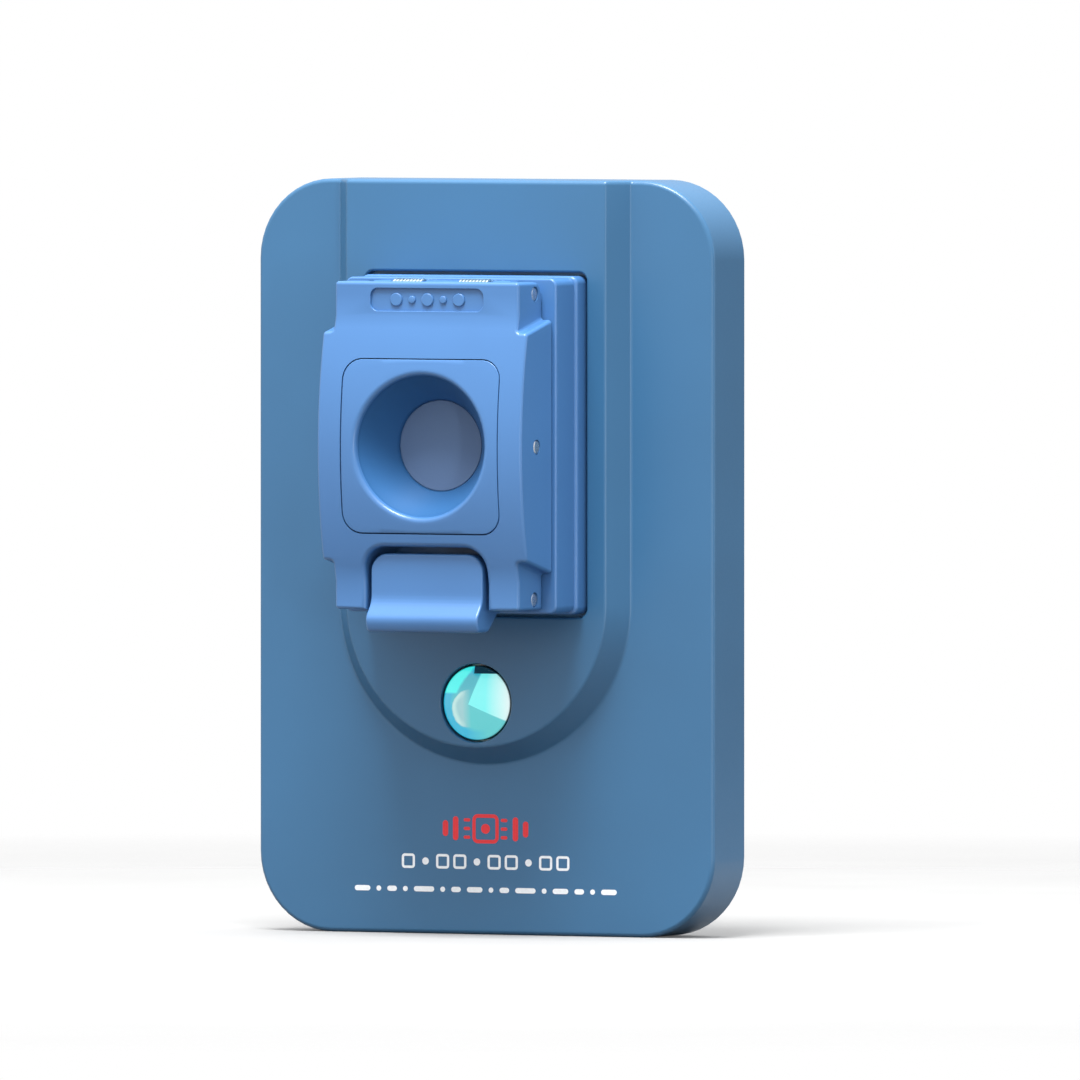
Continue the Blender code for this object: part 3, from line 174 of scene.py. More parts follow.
def mirrored(name, side, stations):
    """A solid that is the same left and right. side(grow, shift) lists its right-hand outline as (x, z) from
    bottom to top, and stations lists (grow, shift, y as a function of z). Rungs across it close both ends."""
    bm = bmesh.new()
    rings = []
    for grow, shift, y_of in stations:
        right = side(grow, shift)
        ring = right + [(-x, z) for x, z in reversed(right)]
        rings.append([bm.verts.new((x, y_of(z), z)) for x, z in ring])
    for first, second in zip(rings, rings[1:]):
        bridge(bm, first, second)
    for ring in (rings[0], rings[-1]):
        last = len(ring) - 1
        for i in range(len(ring) // 2 - 1):
            bm.faces.new((ring[i], ring[i + 1], ring[last - i - 1], ring[last - i]))
    return new_object(name, bm)


def block(name, low, high):
    corners = [(low[0], low[2]), (high[0], low[2]), (high[0], high[2]), (low[0], high[2])]
    return prism(name, corners, low[1], high[1])


def rounded_end(radius, plane, inward, steps=4, flare=False):
    """Stations that round the edge at an end plane, from the side wall on. inward is +1 or -1 along the
    axis. With flare the outline grows outwards, as a cutter does that rounds the edge of its hole."""
    growth = 1 if flare else -1
    angles = [math.radians(90 * step / steps) for step in range(steps + 1)]
    return [
        (growth * radius * (1 - math.cos(a)), plane + inward * radius * (1 - math.sin(a))) for a in angles
    ]


def flared_cutter(name, outline, deep, mouth, radius, outward=-1, axis="Y"):
    """A cutter from the plane deep to the surface at mouth, where it rounds the edge of the hole."""
    stations = [(0.0, deep)] + rounded_end(radius, mouth + outward * HAIR, -outward, flare=True)
    stations.append((radius, mouth + outward * BEYOND))
    return swept(name, outline, stations, axis)


def turned(name, profile, centre, axis="Y", steps=64):
    """A body turned about an axis. profile lists (radius, place along the axis), ends closed."""
    return swept(name, lambda radius: disc(radius, centre, steps)(), profile, axis)


def bake(obj):
    """Make the result of the modifiers the object's own mesh."""
    depsgraph = bpy.context.evaluated_depsgraph_get()
    mesh = bpy.data.meshes.new_from_object(obj.evaluated_get(depsgraph))
    obj.modifiers.clear()
    obj.data = mesh
    return obj


def combine(target, tools, operation="DIFFERENCE"):
    for tool in tools:
        modifier = target.modifiers.new(tool.name, "BOOLEAN")
        modifier.operation = operation
        modifier.solver = "EXACT"
        modifier.object = tool
    bake(target)
    for tool in tools:
        bpy.data.objects.remove(tool, do_unlink=True)
    return target


def soften(obj, width, steps=3, angle=35):
    """Round every edge sharper than the angle."""
    modifier = obj.modifiers.new("soften", "BEVEL")
    modifier.width = width
    modifier.segments = steps
    modifier.limit_method = "ANGLE"
    modifier.angle_limit = math.radians(angle)
    modifier.miter_outer = "MITER_ARC"
    modifier.use_clamp_overlap = False
    return bake(obj)


def smooth(obj, angle=32):
    """Smooth shading that keeps large faces flat and edges above the angle sharp."""
    obj.data.shade_smooth()
    obj.data.set_sharp_from_angle(angle=math.radians(angle))
    modifier = obj.modifiers.new("weigh", "WEIGHTED_NORMAL")
    modifier.keep_sharp = True
    modifier.weight = 80
    return obj


def coil(name, centre, radius, start, end, turns, wire_radius, legs=(), axis="X"):
    """A wire wound about an axis. legs are (place in the list, point) added before or after the coil."""
    per_turn = 28
    total = int(turns * per_turn)
    points = []
    for step in range(total + 1):
        angle = 2 * math.pi * step / per_turn
        a = centre[0] + radius * math.cos(angle)
        b = centre[1] + radius * math.sin(angle)
        points.append(point(a, b, start + (end - start) * step / total, axis))
    points = [Vector(leg) for place, leg in legs if place == "before"] + points
    points += [Vector(leg) for place, leg in legs if place == "after"]
    return wire(name, points, wire_radius)


def wire(name, points, radius):
    curve = bpy.data.curves.new(name, "CURVE")
    curve.dimensions = "3D"
    curve.bevel_depth = radius
    curve.bevel_resolution = 3
    curve.use_fill_caps = True
    spline = curve.splines.new("POLY")
    spline.points.add(len(points) - 1)
    for target, place in zip(spline.points, points):
        target.co = (*place, 1.0)
    obj = bpy.data.objects.new(name, curve)
    bpy.context.scene.collection.objects.link(obj)
    return obj


def present(obj, body, material, slot, *nodes):
    """Give a piece its body, its material and the CAD nodes that it stands for."""
    obj.data.materials.clear()
    obj.data.materials.append(material)
    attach(obj, body)
    if nodes:
        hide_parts(*nodes)
    return obj


# Materials


def node(tree, kind, inputs=None, **settings):
    """Add a shader node. inputs maps socket names or numbers to values or to other nodes' outputs."""
    made = tree.nodes.new("ShaderNode" + kind)
    for key, value in settings.items():
        setattr(made, key, value)
    for key, value in (inputs or {}).items():
        if isinstance(value, bpy.types.NodeSocket):
            tree.links.new(value, made.inputs[key])
        else:
            made.inputs[key].default_value = value
    return made


def blank(name, roughness, metallic=0.0):
    material = bpy.data.materials.new(name)
    material.use_nodes = True
    tree = material.node_tree
    shader = tree.nodes["Principled BSDF"]
    shader.inputs["Roughness"].default_value = roughness
    shader.inputs["Metallic"].default_value = metallic
    return material, tree, shader


def millimetres(tree, stretch=(1.0, 1.0, 1.0)):
    """Object coordinates in millimetres."""
    place = node(tree, "TexCoord")
    scale = [part / MM for part in stretch]
    return node(tree, "Mapping", {"Vector": place.outputs["Object"], "Scale": scale}).outputs["Vector"]


def noise(tree, place, size, detail=2.0, rough=0.5):
    """Noise whose features are about size millimetres across."""
    inputs = {"Vector": place, "Scale": 1.0 / size, "Detail": detail, "Roughness": rough}
    return node(tree, "TexNoise", inputs).outputs["Fac"]


def spread(tree, value, low, high, start=0.3, end=0.7):
    """Map a noise value to a range."""
    inputs = {"Value": value, "From Min": start, "From Max": end, "To Min": low, "To Max": high}
    return node(tree, "MapRange", inputs).outputs["Result"]


def blend_colours(tree, factor, first, second):
    made = node(tree, "Mix", {"Factor": factor}, data_type="RGBA")
    for key, value in ((6, first), (7, second)):
        if isinstance(value, bpy.types.NodeSocket):
            tree.links.new(value, made.inputs[key])
        else:
            made.inputs[key].default_value = (*value, 1.0)
    return made.outputs[2]


def shade(colour, factor):
    return tuple(min(1.0, part * factor) for part in colour)


def bump(tree, shader, height, depth, strength=1.0):
    """Depth is the height of the relief in millimetres."""
    made = node(tree, "Bump", {"Height": height, "Distance": depth * MM, "Strength": strength})
    tree.links.new(made.outputs["Normal"], shader.inputs["Normal"])


def satin_plastic(name, colour, roughness, grain=0.35, relief=0.004, specular=0.5):
    """Moulded plastic: a fine spark-eroded grain and a slow drift of colour."""
    material, tree, shader = blank(name, roughness)
    place = millimetres(tree)
    drift = noise(tree, place, 24.0, 2.0)
    fine = noise(tree, place, grain, 3.0, 0.6)
    base = blend_colours(tree, spread(tree, drift, 0.0, 1.0), shade(colour, 0.95), shade(colour, 1.05))
    tree.links.new(base, shader.inputs["Base Color"])
    tree.links.new(spread(tree, fine, roughness - 0.01, roughness + 0.03), shader.inputs["Roughness"])
    shader.inputs["Specular IOR Level"].default_value = specular
    bump(tree, shader, fine, relief)
    return material


def worked_metal(name, colour, roughness, stretch=(1.0, 1.0, 1.0), size=0.12):
    """Metal with drawing or turning marks along the axis that stretch compresses."""
    material, tree, shader = blank(name, roughness, 1.0)
    place = millimetres(tree, stretch)
    marks = noise(tree, place, size, 3.0, 0.6)
    patches = noise(tree, millimetres(tree), 1.6, 2.0)
    base = blend_colours(tree, spread(tree, patches, 0.0, 1.0), shade(colour, 0.86), shade(colour, 1.08))
    tree.links.new(base, shader.inputs["Base Color"])
    tree.links.new(spread(tree, marks, roughness - 0.08, roughness + 0.12), shader.inputs["Roughness"])
    bump(tree, shader, marks, 0.003)
    return material


def rubber_material():
    material, tree, shader = blank("foot_rubber", 0.78)
    place = millimetres(tree)
    fine = noise(tree, place, 0.22, 4.0, 0.65)
    dust = noise(tree, place, 1.8, 3.0)
    base = blend_colours(tree, spread(tree, dust, 0.0, 1.0, 0.45, 0.75), (0.014, 0.014, 0.016), (0.045, 0.045, 0.048))
    tree.links.new(base, shader.inputs["Base Color"])
    tree.links.new(spread(tree, fine, 0.68, 0.88), shader.inputs["Roughness"])
    bump(tree, shader, fine, 0.015)
    return material


def board_material():
    """Solder mask over copper tracks: a grid of square cells with lighter lines between them."""
    material, tree, shader = blank("solder_mask", 0.38)
    place = millimetres(tree)
    cells = node(
        tree, "TexVoronoi", {"Vector": place, "Scale": 0.55, "Randomness": 0.75},
        feature="DISTANCE_TO_EDGE", distance="EUCLIDEAN",
    ).outputs["Distance"]
    tracks = spread(tree, cells, 1.0, 0.0, 0.03, 0.06)
    base = blend_colours(tree, tracks, (0.006, 0.070, 0.036), (0.012, 0.150, 0.070))
    tree.links.new(base, shader.inputs["Base Color"])
    tree.links.new(spread(tree, noise(tree, place, 0.5, 3.0), 0.30, 0.46), shader.inputs["Roughness"])
    bump(tree, shader, tracks, 0.03)
    return material


def ink_material(name, colour):
    """Pad-printed ink: slightly uneven cover and a faint screen texture."""
    material, tree, shader = blank(name, 0.5)
    place = millimetres(tree)
    cover = noise(tree, place, 0.5, 3.0, 0.6)
    base = blend_colours(tree, spread(tree, cover, 0.0, 1.0), shade(colour, 0.88), colour)
    tree.links.new(base, shader.inputs["Base Color"])
    tree.links.new(spread(tree, cover, 0.42, 0.6), shader.inputs["Roughness"])
    bump(tree, shader, cover, 0.004)
    return material


MATERIALS = {
    "box": satin_plastic("box_plastic", (0.032, 0.122, 0.245), 0.34, grain=0.6, relief=0.003),
    "socket": satin_plastic("socket_plastic", (0.056, 0.164, 0.378), 0.31, grain=0.6, relief=0.002),
    # The funnel's wall: the socket's blue darkened as painted shade of the hollow, with a duller, less glossy finish.
    "funnel": satin_plastic("funnel_plastic", (0.026, 0.106, 0.262), 0.42, grain=0.28, specular=0.3),
    "steel": worked_metal("ground_steel", (0.62, 0.63, 0.64), 0.28, (0.06, 1.0, 1.0)),
    "shell_steel": worked_metal("stamped_steel", (0.60, 0.61, 0.62), 0.30, (1.0, 1.0, 0.08)),
    "wire": worked_metal("spring_wire", (0.80, 0.90, 0.88), 0.24, size=0.2),
    "gold": worked_metal("probe_gold", (0.95, 0.68, 0.28), 0.22, size=0.2),
    "rubber": rubber_material(),
    "board": board_material(),
    "black": satin_plastic("package_black", (0.018, 0.018, 0.020), 0.50, grain=0.2, relief=0.01),
    "amber": satin_plastic("contact_carrier", (0.300, 0.175, 0.075), 0.46, grain=0.25),
    "pad": satin_plastic("press_pad_grey", (0.082, 0.142, 0.260), 0.60, grain=0.25, relief=0.008),
    "white": satin_plastic("lamp_white", (0.85, 0.85, 0.80), 0.35, grain=0.3),
    "ink_white": ink_material("ink_white", (0.88, 0.90, 0.93)),
    "ink_red": ink_material("ink_red", (0.78, 0.030, 0.040)),
}


# Enclosure


def pad_slope():
    """The slope from the front face up to the pad, as (half width of the U, height above the face)."""
    lean = math.atan2(PAD_RAISE, PAD_SLOPE)
    reach = PAD_FILLET * math.tan(lean / 2)
    steps = 5
    points = []
    for step in range(steps + 1):
        angle = lean * step / steps
        inward = -reach + PAD_FILLET * math.sin(angle)
        points.append((inward, PAD_FILLET * (1 - math.cos(angle))))
    for step in range(steps, -1, -1):
        angle = lean * step / steps
        inward = PAD_SLOPE + reach - PAD_FILLET * math.sin(angle)
        points.append((inward, PAD_RAISE - PAD_FILLET * (1 - math.cos(angle))))
    foot = PAD_HALF_WIDTH + PAD_SLOPE
    return [(foot - inward, height) for inward, height in points]


def cover_ring(grow):
    """The box's outline as (x, z, height of the pad there): only its top edge crosses the pad."""
    corners = rounded(BOX_WIDTH, BOX_HEIGHT, BOX_CORNER, (0.0, BOX_HEIGHT / 2), 12)(grow)
    first = len(corners) // 4
    top = BOX_HEIGHT + grow
    slope = pad_slope()
    crossing = [(half, top, height) for half, height in slope]
    crossing += [(-half, top, height) for half, height in reversed(slope)]
    flat = [(x, z, 0.0) for x, z in corners]
    return flat[:first] + crossing + flat[first:]


def cover_blank():
    """The front cover before its holes: side walls, rounded edges, the front face and the raised U."""
    bm = bmesh.new()

    def ring(grow, y_of):
        return [bm.verts.new((x, y_of(height), z)) for x, z, height in cover_ring(grow)]

    def level(y):
        return lambda height: y

    rings = [ring(-WALL, level(INNER_Y)), ring(-WALL, level(REAR_Y))]
    for grow, y in reversed(rounded_end(REAR_FILLET, REAR_Y, -1)):
        rings.append(ring(grow, level(y)))
    for grow, rise in rounded_end(BOX_FILLET, 0.0, 1, steps=6):
        rings.append(ring(grow, lambda height, rise=rise: FRONT_Y - height + rise))
    for first, second in zip(rings, rings[1:]):
        bridge(bm, first, second)
    bm.faces.new(rings[0])
    add_front_faces(bm, rings[-1])
    return new_object("front_cover_moulding", bm)


def add_front_faces(bm, rim):
    """The front face, the slope of the U and the pad's top, inside the last ring of the box."""
    slope = pad_slope()
    count = len(slope)
    first = (len(rim) - 2 * count) // 4
    right = rim[first:first + count]
    left = list(reversed(rim[first + count:first + 2 * count]))
    lines = []
    for (half, height), start, end in zip(slope, left, right):
        bend = arc((0.0, PAD_ARC_Z), half, 180, 360, 64)
        inner = [bm.verts.new((x, FRONT_Y - height, z)) for x, z in bend]
        lines.append([start] + inner + [end])
    for first_line, second_line in zip(lines, lines[1:]):
        for i in range(len(first_line) - 1):
            bm.faces.new((first_line[i], first_line[i + 1], second_line[i + 1], second_line[i]))
    outside = rim[first + 2 * count:] + rim[:first]
    bm.faces.new(list(reversed(lines[0])) + outside)
    bm.faces.new(lines[-1])


def u_outline(half_width, top_z):
    points = arc((0.0, PAD_ARC_Z), half_width, 180, 360, 48)
    return points + [(half_width, top_z), (-half_width, top_z)]


BUTTON_LOW, BUTTON_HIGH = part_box("button_cap")
BUTTON_Z = (BUTTON_LOW.z + BUTTON_HIGH.z) / 2
BUTTON_HOLE_RADIUS = 5.9 * MM
CUTOUT_RECESS = rounded(FLANGE_WIDTH + 0.7 * MM, FLANGE_LENGTH + 1.0 * MM, 1.3 * MM, (0.0, SOCKET_Z))
CUTOUT = rounded(35.8 * MM, 50.8 * MM, 1.2 * MM, (0.0, SOCKET_Z))
CUTOUT_STEP = 1.5 * MM
USB_LOW, USB_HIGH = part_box("usb_c_receptacle")
USB_Y = (USB_LOW.y + USB_HIGH.y) / 2
USB_WIDTH = USB_HIGH.x - USB_LOW.x
USB_HEIGHT = USB_HIGH.y - USB_LOW.y
BOSS_RADIUS = 3.0 * MM
SCREW_PLACES = [
    (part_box(f"cover_screw_{number}")[0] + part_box(f"cover_screw_{number}")[1]) / 2 for number in range(1, 5)
]
SCREW_HEAD_RADIUS = 2.2 * MM
SCREW_HOLE_RADIUS = 1.3 * MM
SCREW_HEAD = 1.2 * MM


def front_cover():
    cover = cover_blank()
    pad_room = u_outline(PAD_HALF_WIDTH + 0.2 * MM, BOX_HEIGHT - WALL)
    tools = [prism("pad_room", pad_room, PAD_TOP_Y + WALL, INNER_Y + 1.0 * MM)]
    step_y = PAD_TOP_Y + CUTOUT_STEP
    tools.append(flared_cutter("socket_recess", CUTOUT_RECESS, step_y, PAD_TOP_Y, 0.4 * MM))
    tools.append(swept("socket_hole", CUTOUT, [(0.0, INNER_Y), (0.0, PAD_TOP_Y)]))
    button_hole = disc(BUTTON_HOLE_RADIUS, (0.0, BUTTON_Z), 96)
    tools.append(flared_cutter("button_hole", button_hole, INNER_Y, PAD_TOP_Y, 0.3 * MM))
    port = rounded(USB_WIDTH + 2 * GAP, USB_HEIGHT + 2 * GAP, USB_HEIGHT / 2, (0.0, USB_Y))
    tools.append(flared_cutter("port", port, BOX_HEIGHT - 2 * WALL, BOX_HEIGHT, 0.3 * MM, 1, "Z"))
    combine(cover, tools)
    bosses = []
    holes = []
    for place in SCREW_PLACES:
        centre = (place.x, place.z)
        end_y = BOARD_FRONT_Y - GAP
        bosses.append(swept("boss", disc(BOSS_RADIUS, centre), [(0.0, INNER_Y - WALL / 2), (0.0, end_y)]))
        hole = disc(SCREW_HOLE_RADIUS, centre, 32)
        holes.append(swept("boss_hole", hole, [(0.0, INNER_Y), (0.0, end_y + BEYOND)]))
    combine(cover, bosses, "UNION")
    combine(cover, holes)
    present(smooth(cover), "enclosure", MATERIALS["box"], "box_blue", "front_cover")


def rear_cover():
    inset = WALL + GAP
    outline = rounded(BOX_WIDTH - 2 * inset, BOX_HEIGHT - 2 * inset, BOX_CORNER - inset, (0.0, BOX_HEIGHT / 2), 12)
    inner_y = REAR_Y - WALL
    stations = [(0.0, inner_y)] + rounded_end(0.35 * MM, REAR_Y, -1)
    cover = swept("rear_cover_plate", outline, stations)
    bosses = []
    holes = []
    for place in SCREW_PLACES:
        centre = (place.x, place.z)
        boss = [(0.0, BOARD_BACK_Y + GAP), (0.0, inner_y + WALL / 2)]
        bosses.append(swept("boss", disc(BOSS_RADIUS, centre), boss))
        hole = disc(SCREW_HOLE_RADIUS, centre, 32)
        holes.append(swept("hole", hole, [(0.0, BOARD_BACK_Y), (0.0, REAR_Y + BEYOND)]))
        seat = disc(SCREW_HEAD_RADIUS + GAP, centre)
        seat_y = REAR_Y - SCREW_HEAD - 2 * GAP
        holes.append(flared_cutter("seat", seat, seat_y, REAR_Y, 0.25 * MM, 1))
    for number in range(1, 5):
        low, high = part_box(f"rubber_foot_{number}")
        middle = (low + high) / 2
        pocket = disc((high.x - low.x) / 2 + GAP, (middle.x, middle.z))
        holes.append(flared_cutter("pocket", pocket, low.y - GAP, REAR_Y, 0.15 * MM, 1))
    combine(cover, bosses, "UNION")
    combine(cover, holes)
    present(smooth(cover), "enclosure", MATERIALS["box"], "box_blue", "rear_cover")


def cap_screw(name, node_name):
    """A socket-head screw with a rounded head and a ridged shank, head towards +Y."""
    low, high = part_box(node_name)
    centre = ((low.x + high.x) / 2, (low.z + high.z) / 2)
    under_y = high.y - SCREW_HEAD
    shank_radius = 1.0 * MM
    pitch = 0.4 * MM
    profile = [(0.6 * MM, low.y)]
    threads = int((under_y - low.y) / pitch)
    for thread in range(threads):
        y = low.y + thread * pitch
        profile += [(shank_radius - 0.15 * MM, y + 0.05 * MM), (shank_radius, y + pitch / 2)]
    profile += [(shank_radius - 0.15 * MM, under_y), (SCREW_HEAD_RADIUS - 0.15 * MM, under_y)]
    profile.append((SCREW_HEAD_RADIUS, under_y + 0.15 * MM))
    profile += [(SCREW_HEAD_RADIUS + grow, y) for grow, y in rounded_end(0.35 * MM, high.y, -1)]
    screw = turned(name, profile, centre, steps=48)
    drive = swept("drive", disc(0.9 * MM, centre, 6), [(0.0, high.y - 0.7 * MM), (0.0, high.y + BEYOND)])
    combine(screw, [drive])
    present(smooth(screw), "enclosure", MATERIALS["steel"], "steel", node_name)


def rubber_foot(number):
    node_name = f"rubber_foot_{number}"
    low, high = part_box(node_name)
    centre = ((low.x + high.x) / 2, (low.z + high.z) / 2)
    radius = (high.x - low.x) / 2
    profile = [(radius, low.y)] + [(radius + g, y) for g, y in rounded_end(0.4 * MM, high.y, -1)]
    profile += [(radius * 0.72, high.y), (radius * 0.66, high.y - 0.15 * MM), (0.2 * MM, high.y - 0.15 * MM)]
    foot = turned(f"foot_pad_{number}", profile, centre)
    present(smooth(foot), "enclosure", MATERIALS["rubber"], "rubber", node_name)


def usb_port():
    """The receptacle's drawn shell, its tongue and the contacts on the tongue."""
    wall = 0.3 * MM
    mouth = USB_HIGH.z
    shape = rounded(USB_WIDTH, USB_HEIGHT, USB_HEIGHT / 2 - 0.1 * MM, (0.0, USB_Y), 12)
    shell = swept("usb_shell", shape, [(0.0, USB_LOW.z)] + rounded_end(0.12 * MM, mouth, -1), "Z")
    bore = rounded(
        USB_WIDTH - 2 * wall, USB_HEIGHT - 2 * wall, USB_HEIGHT / 2 - wall - 0.1 * MM, (0.0, USB_Y), 12
    )
    cutter = flared_cutter("usb_bore", bore, USB_LOW.z + 1.2 * MM, mouth, 0.12 * MM, 1, "Z")
    combine(shell, [cutter])
    present(smooth(shell), "enclosure", MATERIALS["shell_steel"], "steel", "usb_c_receptacle")
    half_width = 3.3 * MM
    half_thickness = 0.35 * MM
    tip = mouth - 0.8 * MM
    shape = rounded(2 * half_width, 2 * half_thickness, 0.15 * MM, (0.0, USB_Y), 4)
    root = USB_LOW.z + 1.25 * MM
    tongue = swept("usb_tongue", shape, [(0.0, root)] + rounded_end(0.12 * MM, tip, -1), "Z")
    present(smooth(tongue), "enclosure", MATERIALS["black"], "moulding_black")
    bm = bmesh.new()
    pitch = 0.5 * MM
    for index in range(12):
        x = (index - 5.5) * pitch
        for side in (-1, 1):
            y = USB_Y + side * half_thickness
            middle = Matrix.Translation((x, y, tip - 2.0 * MM)) @ Matrix.Diagonal((0.25 * MM, 0.04 * MM, 3.0 * MM, 1.0))
            bmesh.ops.create_cube(bm, size=1.0, matrix=middle)
    contacts = soften(new_object("usb_contacts", bm), 0.012 * MM, 2)
    present(smooth(contacts), "enclosure", MATERIALS["gold"], "spring_steel")


# Button


def button_material():
    """Clear cyan cap over a jewel whose lit look is painted into its colour and made to glow, drawn about its
    centre: a blue ring of painted shade at the left, a painted bright arc at the upper left, a pale half disc of
    painted light with a painted highlight at its edge, a fan of painted light that opens to the right and a dark
    notch of painted shade above the fan."""
    material, tree, shader = blank("button_jewel", 0.12)
    place = node(tree, "Mapping", {
        "Vector": node(tree, "TexCoord").outputs["Object"],
        "Location": (0.0, 0.0, -BUTTON_Z / MM),
        "Scale": (1 / MM, 1 / MM, 1 / MM),
    }).outputs["Vector"]
    parts = node(tree, "SeparateXYZ", {"Vector": place})
    x, z = parts.outputs["X"], parts.outputs["Z"]

    def calculate(operation, *values):
        return node(tree, "Math", dict(enumerate(values)), operation=operation).outputs[0]

    def radius_about(cx, cz):
        dx = calculate("SUBTRACT", x, cx)
        dz = calculate("SUBTRACT", z, cz)
        return calculate("SQRT", calculate("MULTIPLY_ADD", dx, dx, calculate("MULTIPLY", dz, dz)))

    def between(value, start, end):
        return spread(tree, value, 0.0, 1.0, start, end)

    def both(first, second):
        return calculate("MULTIPLY", first, second)

    ripple = noise(tree, place, 1.6, 2.0)
    wobble = calculate("MULTIPLY", calculate("SUBTRACT", ripple, 0.5), 0.6)
    # The painted pattern starts from a cyan that is lighter towards the bottom.
    colour = blend_colours(tree, between(z, -1.0, 2.5), (0.11, 0.64, 0.66), (0.06, 0.50, 0.60))
    # A ring of painted shade, on the left side only.
    ring = between(calculate("ADD", radius_about(0.3, 0.1), wobble), 3.9, 4.6)
    colour = blend_colours(tree, both(ring, between(x, 2.0, -1.5)), colour, (0.02, 0.50, 0.74))
    # A pale half disc of painted light at the lower left, with a painted highlight along its edge.
    disc_radius = calculate("ADD", radius_about(-1.0, -0.9), wobble)
    painted_pale_disc = both(between(disc_radius, 2.95, 2.7), between(x, -0.6, -2.0))
    colour = blend_colours(tree, painted_pale_disc, colour, (0.36, 0.66, 0.68))
    painted_disc_highlight = both(both(between(disc_radius, 1.9, 2.5), between(disc_radius, 2.9, 2.7)), between(x, -1.4, -2.6))
    colour = blend_colours(tree, painted_disc_highlight, colour, (0.56, 0.86, 0.82))
    # A painted bright arc at the upper left.
    slant = calculate("MULTIPLY_ADD", x, -0.81, calculate("MULTIPLY", z, 0.58))
    painted_bright_arc = both(between(calculate("ADD", slant, wobble), 3.2, 3.6), between(z, 1.3, 1.6))
    colour = blend_colours(tree, both(painted_bright_arc, between(x, -0.28, -0.36)), colour, (0.06, 1.00, 0.94))
    # A fan of painted light from a point left of the middle, opening to the right and whiter further right.
    turn = calculate("ARCTAN2", calculate("ADD", z, 0.2), calculate("ADD", x, 1.0))
    painted_light_fan = both(between(turn, -0.41, -0.37), between(turn, 1.21, 1.15))
    light = blend_colours(tree, between(x, 1.8, 5.4), (0.22, 1.00, 0.98), (0.82, 1.00, 0.99))
    colour = blend_colours(tree, painted_light_fan, colour, light)
    # A small dark notch of painted shade above the fan.
    notch = both(between(z, 4.38, 4.46), between(x, -0.32, -0.24))
    colour = blend_colours(tree, notch, colour, (0.006, 0.030, 0.050))
    # The painted pattern, darkened, is the base colour, and it glows inside the cap's rim: a glow of painted light,
    # though nothing in the cap is a lamp.
    tree.links.new(blend_colours(tree, 0.65, colour, (0.0, 0.02, 0.03)), shader.inputs["Base Color"])
    tree.links.new(colour, shader.inputs["Emission Color"])
    inside = between(radius_about(0.0, 0.0), 5.56, 5.44)
    tree.links.new(calculate("MULTIPLY", inside, 0.68), shader.inputs["Emission Strength"])
    shader.inputs["Coat Weight"].default_value = 0.5
    shader.inputs["Coat Roughness"].default_value = 0.04
    bump(tree, shader, ripple, 0.05)
    return material


def button_cap():
    radius = 5.62 * MM
    flange_radius = (BUTTON_HIGH.x - BUTTON_LOW.x) / 2
    crown_y = BUTTON_LOW.y
    rim_y = crown_y + 0.9 * MM
    sphere = (radius ** 2 + (rim_y - crown_y) ** 2) / (2 * (rim_y - crown_y))
    edge = math.asin((radius - 0.25 * MM) / sphere)
    steps = 20
    profile = []
    for step in range(1, steps + 1):
        angle = edge * step / steps
        profile.append((sphere * math.sin(angle), crown_y + sphere * (1 - math.cos(angle))))
    profile += [(radius - 0.06 * MM, rim_y + 0.05 * MM), (radius, rim_y + 0.22 * MM)]
    flange_y = PAD_TOP_Y + WALL + GAP
    back_y = flange_y + 0.8 * MM
    profile += [(radius, flange_y), (flange_radius, flange_y), (flange_radius, back_y), (1.6 * MM, back_y)]
    profile.append((1.6 * MM, BUTTON_HIGH.y))
    cap = turned("button_jewel", profile, (0.0, BUTTON_Z), steps=96)
    present(smooth(cap), "button", button_material(), "clear_cyan", "button_cap")


# Printed marks


def print_face(name, shapes, material, slot):
    """Flat inked shapes a hair proud of the front face. shapes lists outlines in (x, z)."""
    bm = bmesh.new()
    for outer, inner in shapes:
        front = [bm.verts.new((x, FRONT_Y - PROUD, z)) for x, z in outer]
        back = [bm.verts.new((x, FRONT_Y + PROUD, z)) for x, z in outer]
        bridge(bm, front, back)
        if inner is None:
            bm.faces.new(front)
            bm.faces.new(back)
            continue
        inner_front = [bm.verts.new((x, FRONT_Y - PROUD, z)) for x, z in inner]
        inner_back = [bm.verts.new((x, FRONT_Y + PROUD, z)) for x, z in inner]
        bridge(bm, inner_front, inner_back)
        bridge(bm, front, inner_front)
        bridge(bm, back, inner_back)
    present(new_object(name, bm), "enclosure", MATERIALS[material], slot)


def bar(x, z, width, height):
    return rounded(width, height, min(width, height) / 2 - HAIR, (x, z), 4)(), None


def frame_mark(x, z, width, height, stroke, radius):
    outline = rounded(width, height, radius, (x, z), 5)
    return outline(), outline(-stroke)


